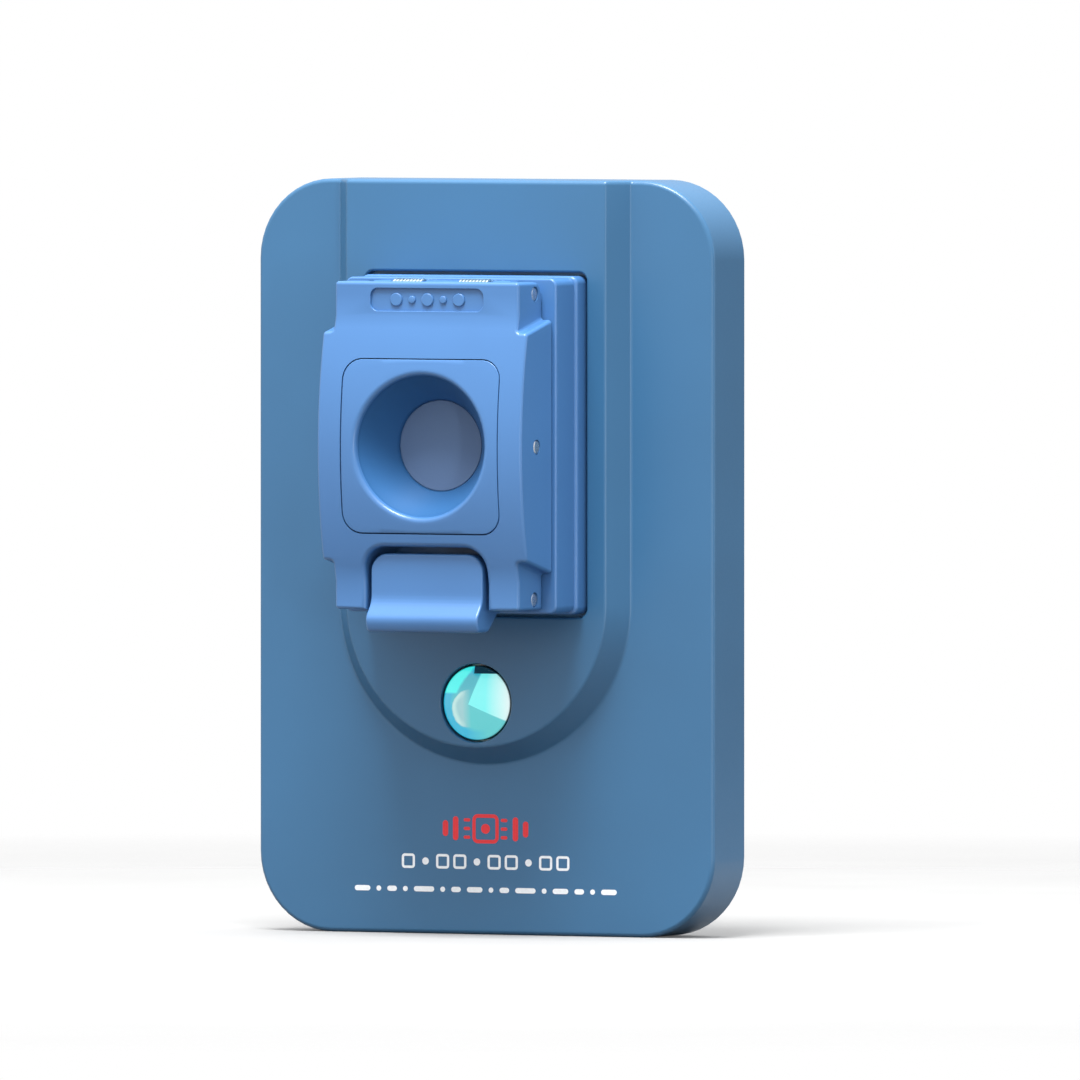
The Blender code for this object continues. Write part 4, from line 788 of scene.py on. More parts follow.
def printed_marks():
    """A generic chip sign in red, a row of open squares and a row of dots and dashes in white."""
    sign_z = 15.9 * MM
    side = 4.4 * MM
    red = [frame_mark(0.0, sign_z, side, side, 0.55 * MM, 0.9 * MM), bar(0.0, sign_z, 1.5 * MM, 1.5 * MM)]
    for sign in (-1, 1):
        for row in (-1, 0, 1):
            red.append(bar(sign * 3.1 * MM, sign_z + row * 1.3 * MM, 1.1 * MM, 0.5 * MM))
        for column in (1, 2):
            x = sign * (3.3 + 1.7 * column) * MM
            red.append(bar(x, sign_z, 0.9 * MM, (3.6 - 1.2 * (column - 1)) * MM))
    print_face("chip_sign_print", red, "ink_red", "print_red")

    row_z = 10.9 * MM
    count = 10
    pitch = 28.7 * MM / count
    white = []
    for index in range(count):
        x = (index - (count - 1) / 2) * pitch
        if index % 3 == 1:
            white.append(bar(x, row_z, 1.1 * MM, 1.1 * MM))
        else:
            white.append(frame_mark(x, row_z, 2.2 * MM, 2.2 * MM, 0.38 * MM, 0.5 * MM))
    dash_z = 6.7 * MM
    lengths = (2.6, 0.8, 1.6, 0.8, 3.4, 0.8, 1.6, 2.6, 0.8, 1.6, 3.4, 0.8, 2.6, 1.6, 0.8, 2.6)
    space = (43.8 - sum(lengths)) / (len(lengths) - 1)
    x = -43.8 / 2
    for length in lengths:
        white.append(bar((x + length / 2) * MM, dash_z, length * MM, 0.8 * MM))
        x += length + space
    print_face("white_row_print", white, "ink_white", "print_white")


# Socket base and nest

BASE_HEIGHT = 8.5 * MM
FLANGE_HEIGHT = 2.4 * MM
RECESS_FLOOR = 2.6 * MM
RECESS_SIDE = 28.0 * MM
KNUCKLE_RADIUS = y_at(0.0) - BASE_LOW.y - (PAD_TOP_Y - HINGE_Y)
PIN_RADIUS = (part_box("hinge_pin")[1].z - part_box("hinge_pin")[0].z) / 2
KNUCKLES = {"centre": (-2.7 * MM, 2.7 * MM), "right": (8.5 * MM, 11.4 * MM), "left": (-11.4 * MM, -8.5 * MM)}


def socket_base():
    bottom = BASE_HIGH.y
    centre = (0.0, SOCKET_Z)
    shape = rounded(35.2 * MM, 50.2 * MM, 1.2 * MM, centre)
    base = swept("socket_body", shape, [(0.0, bottom)] + rounded_end(0.35 * MM, y_at(BASE_HEIGHT), 1))
    flange_shape = rounded(FLANGE_WIDTH, FLANGE_LENGTH, 1.2 * MM, centre)
    stations = [(0.0, y_at(-1.2 * MM))] + rounded_end(0.5 * MM, y_at(FLANGE_HEIGHT), 1)
    combine(base, [swept("flange", flange_shape, stations)], "UNION")
    recess = rounded(RECESS_SIDE, RECESS_SIDE, 1.0 * MM, centre)
    tools = [flared_cutter("recess", recess, y_at(RECESS_FLOOR), y_at(BASE_HEIGHT), 0.25 * MM)]
    contact_low, contact_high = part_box("contact_block")
    size = contact_high - contact_low
    window = rounded(size.x + 2 * GAP, size.z + 2 * GAP, 0.6 * MM, centre)
    tools.append(swept("window", window, [(0.0, y_at(RECESS_FLOOR + 1.0 * MM)), (0.0, bottom + BEYOND)]))
    for number in range(1, 5):
        low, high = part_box(f"socket_screw_{number}")
        middle = (low + high) / 2
        hole = disc(SCREW_HOLE_RADIUS, (middle.x, middle.z), 32)
        tools.append(swept("screw_hole", hole, [(0.0, low.y - GAP), (0.0, bottom + BEYOND)]))
    for number in range(1, 5):
        low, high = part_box(f"nest_spring_{number}")
        middle = (low + high) / 2
        pocket = disc(1.6 * MM, (middle.x, middle.z), 32)
        tools.append(swept("spring_pocket", pocket, [(0.0, y_at(RECESS_FLOOR + GAP)), (0.0, y_at(-0.5 * MM))]))
    combine(base, tools)
    combine(base, latch_catch())
    knuckles = [knuckle(name, *span) for name, span in KNUCKLES.items()]
    combine(base, knuckles, "UNION")
    bore = disc(PIN_RADIUS + BORE_PLAY, (HINGE_Y, HINGE_Z), 48)
    combine(base, [swept("bore", bore, [(0.0, -12.0 * MM), (0.0, 12.0 * MM)], "X")])
    present(smooth(base), "enclosure", MATERIALS["socket"], "socket_blue", "socket_base")


def latch_catch():
    """The notch for the latch's hook, open at the bottom end, and the undercut behind its ledge."""
    half = 6.3 * MM
    deep = y_at(3.4 * MM)
    below = LID_LOW.z - 4.0 * MM
    ledge_z = 50.7 * MM
    undercut_y = y_at(BASE_HEIGHT - 1.8 * MM)
    return [
        block("notch", (-half, y_at(BASE_HEIGHT + BEYOND), below), (half, deep, ledge_z)),
        block("undercut", (-half, undercut_y, below), (half, deep, ledge_z + 1.3 * MM)),
    ]


def knuckle(name, start, end):
    shape = arc((HINGE_Y, HINGE_Z), KNUCKLE_RADIUS, 90, 270, 24)
    foot = y_at(BASE_HEIGHT - GAP)
    shape += [(foot, HINGE_Z - KNUCKLE_RADIUS), (foot, HINGE_Z + KNUCKLE_RADIUS)]
    return soften(prism(f"knuckle_{name}", shape, start, end, "X"), 0.15 * MM, 2, 50)


def probe_tips():
    """Fine crowned probe tips on the contact block's island, one on each of its cells."""
    low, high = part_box("contact_block")
    tip_y = low.y
    columns, rows = 6, 8
    cell_width = 10.4 * MM / columns
    cell_length = 14.4 * MM / rows
    bm = bmesh.new()
    for column in range(columns):
        for row in range(rows):
            x = (column - (columns - 1) / 2) * cell_width
            z = SOCKET_Z + (row - (rows - 1) / 2) * cell_length
            for radius, start, end in ((0.34, 0.30, 0.02), (0.20, 0.05, -0.10)):
                depth = (start - end) * MM
                middle = Matrix.Translation((x, tip_y + (start + end) / 2 * MM, z))
                bmesh.ops.create_cone(
                    bm, cap_ends=True, segments=20, radius1=radius * MM, radius2=radius * 0.7 * MM,
                    depth=depth, matrix=middle @ Matrix.Rotation(math.radians(90), 4, "X"),
                )
    present(smooth(new_object("probe_tips", bm)), "enclosure", MATERIALS["gold"], "spring_steel")


def chip_nest():
    low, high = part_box("chip_nest")
    centre = (0.0, SOCKET_Z)
    front = low.y
    shape = rounded(high.x - low.x, high.z - low.z, 0.7 * MM, centre)
    nest = swept("chip_nest_frame", shape, [(0.0, high.y)] + rounded_end(0.3 * MM, front, 1))
    pocket = rounded(14.4 * MM, 18.4 * MM, 0.5 * MM, centre)
    lead = [
        (0.0, y_at(4.6 * MM)), (0.0, y_at(6.0 * MM)), (0.8 * MM, y_at(6.8 * MM)),
        (0.95 * MM, front), (0.95 * MM, front - BEYOND),
    ]
    window = rounded(11.0 * MM, 15.0 * MM, 0.4 * MM, centre)
    tools = [swept("pocket", pocket, lead)]
    tools.append(swept("window", window, [(0.0, y_at(5.0 * MM)), (0.0, high.y + BEYOND)]))
    for sign in (-1, 1):
        corner = disc(1.1 * MM, (sign * 7.3 * MM, SOCKET_Z + 9.3 * MM), 32)
        tools.append(swept("corner_relief", corner, [(0.0, y_at(4.6 * MM)), (0.0, front - BEYOND)]))
        corner = disc(1.1 * MM, (sign * 7.3 * MM, SOCKET_Z - 9.3 * MM), 32)
        tools.append(swept("corner_relief", corner, [(0.0, y_at(4.6 * MM)), (0.0, front - BEYOND)]))
    combine(nest, tools)
    present(smooth(nest), "nest", MATERIALS["black"], "moulding_black", "chip_nest")


# Lid

LID_BACK = 8.8 * MM
LID_FRONT = 16.65 * MM
CROWN = PAD_TOP_Y - LID_LOW.y - LID_FRONT
CROWN_LOW_Z = 53.5 * MM
CROWN_HIGH_Z = 93.3 * MM
LID_EDGE = 0.5 * MM
WING_CORNER = 0.55 * MM
WING_HALF_WIDTH = LID_HIGH.x
END_HALF_WIDTH = 15.3 * MM
WING_TOP_Z = 91.8 * MM
WING_BOTTOM_Z = 55.7 * MM
WING_LEAN = 1.8 * MM
PUSHER_LOW, PUSHER_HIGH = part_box("pusher")
PUSHER_SIDE = PUSHER_HIGH.x - PUSHER_LOW.x
PUSHER_CORNER = 3.0 * MM
PUSHER_SEAM = 0.16 * MM
SLOT_HALF_WIDTH = 10.1 * MM
SLOT_EDGE = 0.75 * MM
SLOT_TOP_Z = 58.75 * MM
SLOT_CORNER = 3.5 * MM


def crown_height(z):
    """Height of the lid's front surface, flat at both ends and bowed between them."""
    middle = (CROWN_HIGH_Z + CROWN_LOW_Z) / 2
    along = (z - middle) / ((CROWN_HIGH_Z - CROWN_LOW_Z) / 2)
    return LID_FRONT + CROWN * max(0.0, 1.0 - along * along)


def lid_back_y(z):
    """The lid's flat back, which rounds forward about the hinge at its top."""
    heel = LID_HIGH.z - HINGE_Z
    above = min(max(z - HINGE_Z, 0.0), heel)
    if above == 0.0:
        return y_at(LID_BACK)
    return HINGE_Y + math.sqrt(heel * heel - above * above)


def lid_side(grow, shift):
    """The lid's right side seen from the front. shift draws the wings' ends in, because they lean."""
    end, wing = END_HALF_WIDTH + grow, WING_HALF_WIDTH + grow
    low, high = LID_LOW.z - grow, LID_HIGH.z + grow
    bottom, top = WING_BOTTOM_Z - grow + shift, WING_TOP_Z + grow - shift
    outer, inner = WING_CORNER + grow, WING_CORNER - grow
    steps = 5
    points = arc((end - outer, low + outer), outer, -90, 0, steps)
    points.append((end, CROWN_LOW_Z))
    points += arc((end + inner, bottom - inner - HAIR), inner, 180, 90, steps)
    points += arc((wing - outer, bottom + outer), outer, -90, 0, steps)
    rungs = 40
    for rung in range(1, rungs):
        points.append((wing, bottom + outer + (top - bottom - 2 * outer) * rung / rungs))
    points += arc((wing - outer, top - outer), outer, 0, 90, steps)
    points += arc((end + inner, top + inner + HAIR), inner, 270, 180, steps)
    points.append((end, CROWN_HIGH_Z))
    points.append((end, HINGE_Z))
    corner_start = high - outer
    heel = LID_HIGH.z - HINGE_Z
    for rung in range(1, 8):
        z = HINGE_Z + heel * math.sin(math.radians(90 * rung / 8))
        if z < corner_start - HAIR:
            points.append((end, z))
    return points + arc((end - outer, corner_start), outer, 0, 90, steps)


def lid_stations():
    """Rings of the lid from its back to its front, with rounded edges on both."""
    slope = WING_LEAN / (LID_FRONT - LID_BACK)
    middle = (LID_FRONT + LID_BACK) / 2

    def shift(height):
        return slope * (height - middle)

    stations = []
    for grow, rise in reversed(rounded_end(0.15 * MM, 0.0, 1)):
        stations.append((grow, shift(LID_BACK), lambda z, rise=rise: lid_back_y(z) - rise))
    for grow, rise in rounded_end(LID_EDGE, 0.0, 1, 5):
        stations.append((grow, shift(LID_FRONT), lambda z, rise=rise: y_at(crown_height(z)) + rise))
    return stations


def crown_cutter(name, outline, deep, radius):
    """A cutter whose hole has a rounded edge that follows the lid's bow."""
    bm = bmesh.new()

    def ring(grow, y_of):
        return [bm.verts.new((x, y_of(z), z)) for x, z in outline(grow)]

    rings = [ring(0.0, lambda z: deep)]
    for grow, rise in rounded_end(radius, -HAIR, 1, 4, flare=True):
        rings.append(ring(grow, lambda z, rise=rise: y_at(crown_height(z)) + rise))
    rings.append(ring(radius, lambda z: y_at(LID_FRONT + CROWN + BEYOND)))
    for first, second in zip(rings, rings[1:]):
        bridge(bm, first, second)
    bm.faces.new(rings[0])
    bm.faces.new(rings[-1])
    return new_object(name, bm)


def slot_outline(grow=0.0):
    """The latch's opening: round top corners, open at the bottom."""
    half = SLOT_HALF_WIDTH + grow
    corner = SLOT_CORNER + grow
    low = LID_LOW.z - BEYOND
    corner_x, corner_z = half - corner, SLOT_TOP_Z + grow - corner
    points = [(-half, low), (-half, CROWN_LOW_Z)]
    points += arc((-corner_x, corner_z), corner, 180, 90, 14)
    points += [(corner_x * (1 - step / 4), SLOT_TOP_Z + grow) for step in range(8, 0, -1)][1:-1]
    points += arc((corner_x, corner_z), corner, 90, 0, 14)
    return points + [(half, CROWN_LOW_Z), (half, low)]


def socket_lid():
    lid = mirrored("lid_moulding", lid_side, lid_stations())
    combine(lid, lid_cutters(y_at(LID_FRONT + CROWN + BEYOND), y_at(LID_BACK - BEYOND)))
    present(smooth(lid), "lid", MATERIALS["socket"], "socket_blue", "socket_lid")


def lid_cutters(front, back):
    side = PUSHER_SIDE + 2 * PUSHER_SEAM
    opening = rounded(side, side, PUSHER_CORNER + PUSHER_SEAM, (0.0, SOCKET_Z), 12)
    tools = [swept("pusher_opening", opening, [(0.0, front), (0.0, back)])]
    tools.append(crown_cutter("latch_slot", slot_outline, back, SLOT_EDGE))
    pocket = rounded(18.8 * MM, 3.4 * MM, 1.2 * MM, (0.0, 95.7 * MM))
    floor = y_at(LID_FRONT - 0.45 * MM)
    tools.append(flared_cutter("name_pocket", pocket, floor, y_at(LID_FRONT), 0.12 * MM))
    spring_low, spring_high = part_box("hinge_spring_right")
    room_low = (-11.7 * MM, spring_low.y - 0.3 * MM, spring_low.z - 0.3 * MM)
    tools.append(block("hinge_room", room_low, (11.7 * MM, back, LID_HIGH.z + BEYOND)))
    reach = WING_HALF_WIDTH + BEYOND
    for y, z in ((HINGE_Y, HINGE_Z), (LATCH_Y, LATCH_Z), (PUSHER_Y, SOCKET_Z)):
        hole = disc(PIN_RADIUS + BORE_PLAY, (y, z), 48)
        tools.append(swept("pin_hole", hole, [(0.0, -reach), (0.0, reach)], "X"))
    return tools


def name_studs():
    """A row of small domed studs in the lid's pocket."""
    bm = bmesh.new()
    floor = y_at(LID_FRONT - 0.45 * MM)
    for index in range(5):
        x = (index - 2) * 2.6 * MM
        radius = (1.0 if index % 2 == 0 else 0.6) * MM
        rings = []
        for grow, y in [(0.0, floor + HAIR)] + rounded_end(0.18 * MM, floor - 0.3 * MM, 1):
            ring = disc(radius + grow, (x, 95.7 * MM), 40)()
            rings.append([bm.verts.new((a, y, b)) for a, b in ring])
        for first, second in zip(rings, rings[1:]):
            bridge(bm, first, second)
        bm.faces.new(rings[0])
        bm.faces.new(rings[-1])
    present(smooth(new_object("pocket_studs", bm)), "lid", MATERIALS["socket"], "socket_blue")


def cross_pin(name, node_name):
    """A ground pin across the socket, with domed ends."""
    low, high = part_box(node_name)
    centre = ((low.y + high.y) / 2, (low.z + high.z) / 2)
    radius = (high.z - low.z) / 2
    start = [(radius + grow, x) for grow, x in reversed(rounded_end(0.3 * MM, low.x, 1))]
    end = [(radius + grow, x) for grow, x in rounded_end(0.3 * MM, high.x, -1)]
    pin = turned(name, start + end, centre, "X", 48)
    present(smooth(pin), BODY_OF[node_name], MATERIALS["steel"], "steel", node_name)


def hinge_spring(side):
    """A torsion spring on the hinge pin: the coil and its lower leg stay with the base."""
    node_name = f"hinge_spring_{side}"
    low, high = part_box(node_name)
    wire_radius = 0.24 * MM
    sign = -1 if side == "left" else 1
    start, end = (low.x, high.x) if sign > 0 else (high.x, low.x)
    start += sign * wire_radius
    end -= sign * wire_radius
    radius = high.z - HINGE_Z - wire_radius
    leg_z = low.z + wire_radius
    lower = ("before", (start, HINGE_Y + radius, leg_z))
    spring = coil(f"{node_name}_coil", (HINGE_Y, HINGE_Z), radius, start, end, 9, wire_radius, [lower])
    present(spring, "enclosure", MATERIALS["wire"], "spring_steel", node_name)
    upper = wire(
        f"{node_name}_leg",
        [Vector((end, HINGE_Y - radius, HINGE_Z)), Vector((end, HINGE_Y - radius, leg_z))],
        wire_radius,
    )
    present(upper, "lid", MATERIALS["wire"], "spring_steel")


# Pusher

PUSHER_BACK = 8.3 * MM
FUNNEL_THROAT = 6.85 * MM
FUNNEL_RIM = 10.60 * MM
FUNNEL_FLOOR = 11.8 * MM
FUNNEL_LIP = 0.9 * MM
FUNNEL_BULGE = 0.04


def square_reach(angle, side, corner):
    """Distance from the middle of a rounded square to its edge at an angle."""
    across, up = abs(math.cos(angle)), abs(math.sin(angle))
    half = side / 2
    inner = half - corner
    reach = half / max(across, up)
    if min(across, up) * reach > inner:
        dot = inner * (across + up)
        reach = dot + math.sqrt(dot * dot - 2 * inner * inner + corner * corner)
    return reach


def funnel_rings(angle):
    """(radius, height) pairs across the pusher at one angle: throat, funnel wall, lip, bow, edge and back."""
    throat, rim = FUNNEL_THROAT, FUNNEL_RIM
    lip = FUNNEL_LIP
    floor = FUNNEL_FLOOR
    edge = square_reach(angle, PUSHER_SIDE, PUSHER_CORNER)
    fillet = 0.12 * MM

    def surface(radius):
        return crown_height(SOCKET_Z + radius * math.sin(angle))

    lip_low = surface(rim) - lip
    pairs = [(throat, PUSHER_BACK), (throat, floor)]
    steps = 14
    for step in range(1, steps + 1):
        along = step / steps
        bulge = FUNNEL_BULGE * math.sin(math.pi * along)
        radius = throat + (rim - throat) * (along + bulge)
        pairs.append((radius, floor + (lip_low - floor) * along))
    for step in range(1, 9):
        turn = math.radians(90 * step / 8)
        radius = rim + lip * (1 - math.cos(turn))
        pairs.append((radius, surface(radius) - lip * (1 - math.sin(turn))))
    inner = rim + lip
    for step in range(1, 5):
        radius = inner + (edge - fillet - inner) * step / 4
        pairs.append((radius, surface(radius)))
    pairs.append((edge - fillet * 0.3, surface(edge) - fillet * 0.3))
    pairs.append((edge, surface(edge) - fillet))
    pairs.append((edge, PUSHER_BACK))
    return pairs


def shade_funnel_wall(body):
    """Give the funnel's wall a darker colour, painted shade of the hollow, and a duller finish."""
    body.data.materials.append(MATERIALS["funnel"])
    for face in body.data.polygons:
        radius = math.hypot(face.center.x, face.center.z - SOCKET_Z)
        if FUNNEL_THROAT < radius < FUNNEL_RIM and face.center.y < y_at(FUNNEL_FLOOR):
            face.material_index = 1


def pusher():
    """The square insert of the lid, its front following the lid's bow, with a round funnel through it."""
    segments = 160
    bm = bmesh.new()
    columns = []
    for index in range(segments):
        angle = 2 * math.pi * index / segments
        column = []
        for radius, height in funnel_rings(angle):
            place = (radius * math.cos(angle), y_at(height), SOCKET_Z + radius * math.sin(angle))
            column.append(bm.verts.new(place))
        columns.append(column)
    for index in range(segments):
        bridge(bm, columns[index], columns[(index + 1) % segments])
    body = new_object("pusher_funnel", bm)
    tools = []
    for sign in (-1, 1):
        hole = disc(PIN_RADIUS + BORE_PLAY, (PUSHER_Y, SOCKET_Z), 48)
        tools.append(swept("pin_hole", hole, [(0.0, sign * 10.1 * MM), (0.0, sign * 15.0 * MM)], "X"))
    low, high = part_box("pressure_pad")
    seat = rounded(high.x - low.x + 1.0 * MM, high.z - low.z + 1.0 * MM, 0.6 * MM, (0.0, SOCKET_Z))
    tools.append(swept("plate_seat", seat, [(0.0, y_at(PUSHER_BACK + 0.3 * MM)), (0.0, y_at(0.0))]))
    combine(body, tools)
    present(smooth(body, 40), "pusher_block", MATERIALS["socket"], "socket_blue", "pusher")
    shade_funnel_wall(body)


def pressure_pad():
    low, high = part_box("pressure_pad")
    centre = (0.0, SOCKET_Z)
    plate = rounded(high.x - low.x, high.z - low.z, 0.6 * MM, centre)
    front = y_at(PUSHER_BACK - GAP)
    stations = list(reversed(rounded_end(0.2 * MM, high.y, -1))) + rounded_end(0.2 * MM, front, 1)
    pad = swept("pressure_pad_boss", plate, stations)
    boss = disc(FUNNEL_THROAT - 2 * PROUD, centre, 96)
    boss_stations = [(0.0, front + GAP)] + rounded_end(0.15 * MM, low.y, 1)
    combine(pad, [swept("boss", boss, boss_stations)], "UNION")
    present(smooth(pad), "pusher_block", MATERIALS["pad"], "pad_grey", "pressure_pad")


# Latch

LEVER_LOW, LEVER_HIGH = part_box("latch_lever")
LIP_Z = LEVER_LOW.z
LIP_STAND = 1.9 * MM
LIP_FALL = 0.6 * MM
FLARE_SHAPE = 1.6
LIP_THICKNESS = 3.8 * MM
LEVER_PLATE = 2.8 * MM
LEVER_HALF_WIDTH = 9.3 * MM
LEVER_CORNER = 2.7 * MM
BARREL_RADIUS = 2.1 * MM
FLARE_Z = 52.2 * MM
LIP_TOP_Z = LIP_Z + 1.8 * MM


def lever_face_y(z):
    """The lever's front: a flat plate above, a hollow flare that rounds over, and a lip that falls back."""
    face = y_at(LID_FRONT)
    along = (FLARE_Z - z) / (FLARE_Z - LIP_TOP_Z)
    if along <= 0.0:
        return face
    if along < 1.0:
        return face - LIP_STAND * (1 - math.cos(along ** FLARE_SHAPE * math.pi)) / 2
    below = (LIP_TOP_Z - z) / (LIP_TOP_Z - LIP_Z)
    return face - LIP_STAND + LIP_FALL * below * below


def lever_back_y(z):
    """The lever's back: the lip's slant, the round barrel about the pivot and the plate."""
    lip_back = y_at(LID_FRONT) - LIP_STAND + LIP_THICKNESS
    barrel_low, barrel_high = LATCH_Z - BARREL_RADIUS, LATCH_Z + BARREL_RADIUS
    if z <= barrel_low:
        along = (z - LIP_Z) / (barrel_low - LIP_Z)
        return lip_back + (LATCH_Y - 0.4 * MM - lip_back) * along
    if z < barrel_high:
        return LATCH_Y + math.sqrt(BARREL_RADIUS ** 2 - (z - LATCH_Z) ** 2)
    along = min((z - barrel_high) / (0.6 * MM), 1.0)
    plate_back = y_at(LID_FRONT - LEVER_PLATE)
    return LATCH_Y + (plate_back - LATCH_Y) * along


def lever_side(grow, shift):
    """The lever's right side seen from the front: a small corner below and a wide one above."""
    half = LEVER_HALF_WIDTH + grow
    low, high = LIP_Z - grow, LEVER_HIGH.z + grow
    foot = 0.5 * MM + grow
    corner = LEVER_CORNER + grow
    points = arc((half - foot, low + foot), foot, -90, 0, 4)
    levels = [LIP_Z + (LIP_TOP_Z - LIP_Z) * step / 6 for step in range(1, 7)]
    levels += [LIP_TOP_Z + (FLARE_Z - LIP_TOP_Z) * step / 16 for step in range(1, 17)]
    levels += [LATCH_Z + BARREL_RADIUS * math.cos(math.radians(15 * step)) for step in range(13)]
    levels += [LATCH_Z + BARREL_RADIUS + 0.6 * MM]
    start, end = low + foot + HAIR, high - corner - HAIR
    points += [(half, z) for z in sorted(set(levels)) if start < z < end]
    return points + arc((half - corner, high - corner), corner, 0, 90, 12)


def latch_lever():
    stations = []
    for grow, rise in reversed(rounded_end(0.2 * MM, 0.0, 1)):
        stations.append((grow, 0.0, lambda z, rise=rise: lever_back_y(z) - rise))
    for grow, rise in rounded_end(0.35 * MM, 0.0, 1, 5):
        stations.append((grow, 0.0, lambda z, rise=rise: lever_face_y(z) + rise))
    lever = mirrored("latch_paddle", lever_side, stations)
    combine(lever, [hook()], "UNION")
    bore = disc(PIN_RADIUS + BORE_PLAY, (LATCH_Y, LATCH_Z), 48)
    reach = LEVER_HALF_WIDTH + BEYOND
    tools = [swept("bore", bore, [(0.0, -reach), (0.0, reach)], "X")]
    room = 3.2 * MM
    room_low = (-room, LATCH_Y - 2.1 * MM, LIP_Z)
    room_high = (room, LATCH_Y + BARREL_RADIUS + GAP, LEVER_HIGH.z + BEYOND)
    tools.append(block("spring_room", room_low, room_high))
    combine(lever, tools)
    present(smooth(lever), "latch", MATERIALS["socket"], "socket_blue", "latch_lever")


def hook():
    """The hook that reaches into the base, its nose turned up behind the ledge."""
    top = 50.3 * MM
    stem_low = LATCH_Z - BARREL_RADIUS
    neck = 0.7 * MM
    tip = BASE_HEIGHT - 4.1 * MM
    nose = BASE_HEIGHT - 2.1 * MM
    shape = [
        (LATCH_Y, stem_low), (LATCH_Y, top - neck), (y_at(nose), top - neck), (y_at(nose), top),
        (y_at(tip + 0.5 * MM), top), (y_at(tip), top - 0.6 * MM), (y_at(tip), stem_low),
    ]
    return soften(prism("hook", shape, -6.0 * MM, 6.0 * MM, "X"), 0.1 * MM, 2, 30)


def latch_spring():
    wire_radius = 0.18 * MM
    radius = PIN_RADIUS + GAP + wire_radius
    half = 2.6 * MM
    leg = ("after", (half, LATCH_Y - radius * 0.9, LATCH_Z + 4.5 * MM))
    spring = coil("latch_spring_coil", (LATCH_Y, LATCH_Z), radius, -half, half, 7, wire_radius, [leg])
    present(spring, "latch", MATERIALS["wire"], "spring_steel", "latch_spring")


# CAD nodes that keep their own shape


def paint_kept_nodes():
    finishes = {
        "main_board": "board", "controller_chip": "black", "power_regulator": "black",
        "status_led": "white", "button_switch": "black", "contact_block": "amber",
    }
    for number in range(1, 5):
        finishes[f"socket_screw_{number}"] = "steel"
        finishes[f"nest_spring_{number}"] = "wire"
    for name, finish in finishes.items():
        obj = frame["nodes"][name]
        obj.data.materials.clear()
        obj.data.materials.append(MATERIALS[finish])
        smooth(obj)


# Stage


def floor():
    """Pale paper that fades into the backdrop away from the object, bright to the camera only."""
    bm = bmesh.new()
    bmesh.ops.create_grid(bm, x_segments=1, y_segments=1, size=1.0)
    obj = new_object("floor", bm)
    material, tree, shader = blank("floor_paper", 0.9)
    tone = noise(tree, millimetres(tree), 40.0, 2.0)
    base = blend_colours(tree, spread(tree, tone, 0.0, 1.0), (0.29, 0.29, 0.29), (0.31, 0.31, 0.31))
    path = node(tree, "LightPath")
    base = blend_colours(tree, path.outputs["Is Diffuse Ray"], base, (0.06, 0.06, 0.06))
    tree.links.new(base, shader.inputs["Base Color"])
    shader.inputs["Specular IOR Level"].default_value = 0.1
    shader.inputs["Emission Color"].default_value = (1.0, 1.0, 1.0, 1.0)
    glow = node(tree, "Math", {0: path.outputs["Is Camera Ray"], 1: 0.08}, operation="MULTIPLY")
    tree.links.new(glow.outputs[0], shader.inputs["Emission Strength"])
    place = node(tree, "TexCoord").outputs["Object"]
    distance = node(tree, "VectorMath", {0: place}, operation="LENGTH").outputs["Value"]
    fade = spread(tree, distance, 0.0, 1.0, 0.12, 0.40)
    clear = node(tree, "BsdfTransparent")
    mixed = node(tree, "MixShader", {0: fade, 1: shader.outputs[0], 2: clear.outputs[0]})
    tree.links.new(mixed.outputs[0], tree.nodes["Material Output"].inputs["Surface"])
    obj.data.materials.append(material)


def area_light(name, place, aim, size, power, colour=(1.0, 1.0, 1.0)):
    light = bpy.data.lights.new(name, "AREA")
    light.shape = "RECTANGLE"
    light.size, light.size_y = size
    light.energy = power
    light.color = colour
    obj = bpy.data.objects.new(name, light)
    obj.location = place
    obj.rotation_euler = (Vector(aim) - Vector(place)).to_track_quat("-Z", "Y").to_euler()
    obj.visible_camera = False
    bpy.context.scene.collection.objects.link(obj)


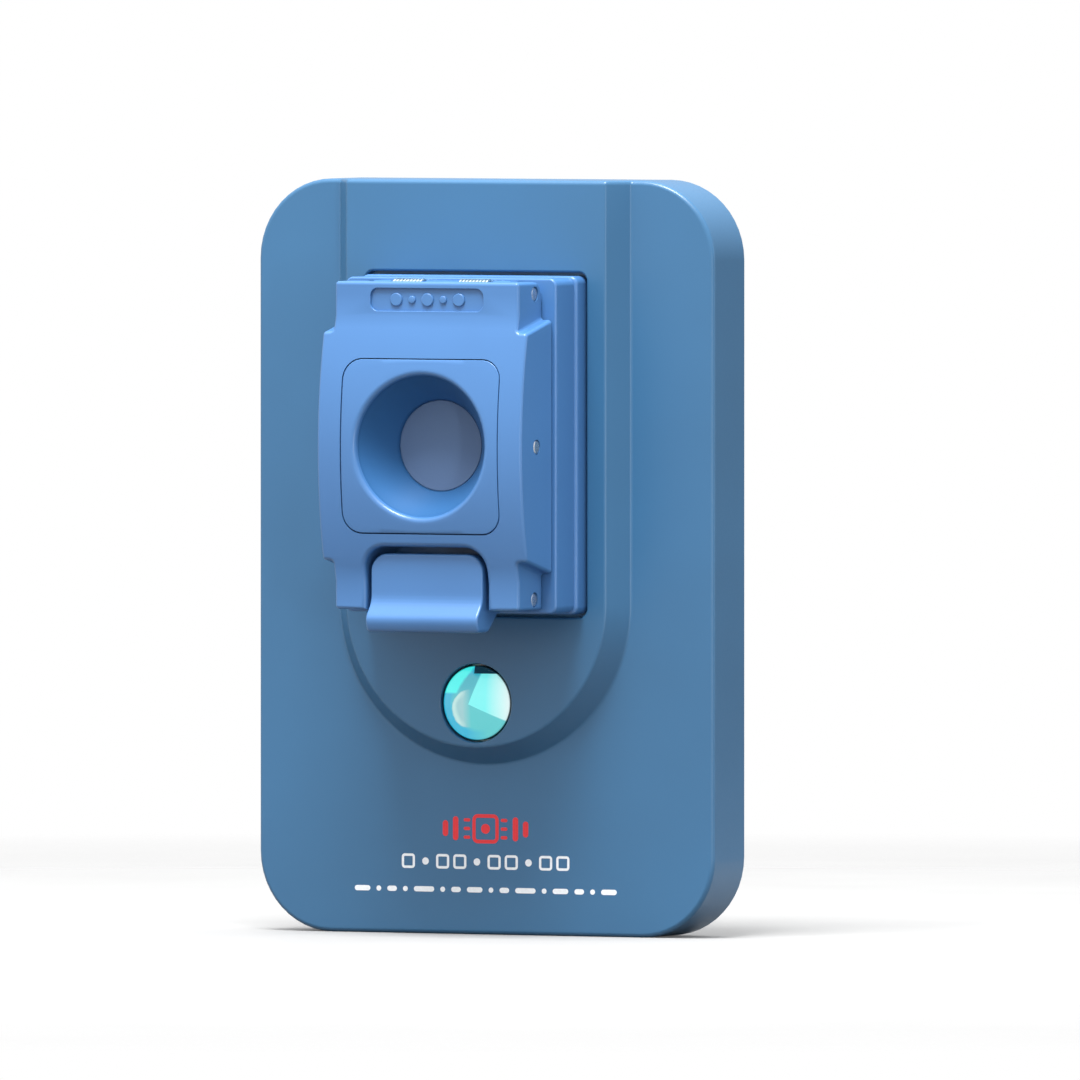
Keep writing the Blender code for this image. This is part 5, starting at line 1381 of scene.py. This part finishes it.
def studio():
    """A white room that shows more in reflections than it lights, and three large soft lights."""
    world = bpy.data.worlds.new("studio")
    bpy.context.scene.world = world
    world.use_nodes = True
    tree = world.node_tree
    tree.nodes.clear()
    path = node(tree, "LightPath")
    direction = node(tree, "SeparateXYZ", {"Vector": node(tree, "TexCoord").outputs["Generated"]})
    front = spread(tree, direction.outputs["Y"], 1.35, 0.45, -0.2, 0.6)
    mirrored_sky = spread(tree, direction.outputs["Z"], 0.0, 1.5, 0.0, 1.0)
    right = spread(tree, direction.outputs["X"], 1.0, 0.55, 0.0, 0.5)
    low = spread(tree, direction.outputs["Z"], 1.0, 0.4, 0.1, 0.4)
    front = node(tree, "Math", {0: front, 1: right}, operation="MULTIPLY").outputs[0]
    front = node(tree, "Math", {0: front, 1: low}, operation="MULTIPLY").outputs[0]
    mirrored_room = node(tree, "Math", {0: front, 1: mirrored_sky}, operation="ADD")
    sky = spread(tree, direction.outputs["Z"], 0.32, 3.0, 0.0, 1.0)
    lit = node(tree, "Mix", {"Factor": path.outputs["Is Diffuse Ray"], 2: mirrored_room.outputs[0], 3: sky})
    strength = node(tree, "Mix", {"Factor": path.outputs["Is Camera Ray"], 2: lit.outputs[0], 3: 1.0})
    white = node(tree, "Background", {"Color": (1.0, 1.0, 1.0, 1.0), "Strength": strength.outputs[0]})
    output = node(tree, "OutputWorld")
    tree.links.new(white.outputs[0], output.inputs["Surface"])
    aim = (0.0, -0.01, 0.06)
    area_light("top_light", (0.03, -0.222, 0.643), aim, (0.24, 0.24), 7.1)
    area_light("side_light", (0.80, 0.28, 0.16), aim, (0.3, 0.5), 1.0)
    area_light("edge_light", (0.60, -0.60, 0.035), aim, (0.04, 0.15), 1.0)


def camera():
    """A long lens from the right of the front and a little above."""
    data = bpy.data.cameras.new("camera")
    data.lens = 1000.0
    data.sensor_width = 36.0
    data.clip_end = 10.0
    obj = bpy.data.objects.new("camera", data)
    azimuth, elevation = math.radians(26.0), math.radians(1.6)
    back = Vector((
        math.sin(azimuth) * math.cos(elevation),
        -math.cos(azimuth) * math.cos(elevation),
        math.sin(elevation),
    ))
    target = Vector((9.1 * MM, FRONT_Y, 59.4 * MM))
    distance = 4.5
    obj.location = target + back * distance
    obj.rotation_euler = back.to_track_quat("Z", "Y").to_euler()
    bpy.context.scene.collection.objects.link(obj)
    bpy.context.scene.camera = obj
    bpy.context.scene.view_settings.view_transform = "Standard"


def build():
    front_cover()
    rear_cover()
    for number in range(1, 5):
        cap_screw(f"cap_screw_{number}", f"cover_screw_{number}")
        rubber_foot(number)
    usb_port()
    button_cap()
    printed_marks()
    socket_base()
    probe_tips()
    chip_nest()
    socket_lid()
    name_studs()
    cross_pin("hinge_cross_pin", "hinge_pin")
    cross_pin("latch_cross_pin", "latch_pin")
    cross_pin("pusher_stub_left", "pusher_pin_left")
    cross_pin("pusher_stub_right", "pusher_pin_right")
    hinge_spring("left")
    hinge_spring("right")
    pusher()
    pressure_pad()
    latch_lever()
    latch_spring()
    paint_kept_nodes()


build()
floor()
studio()
camera()
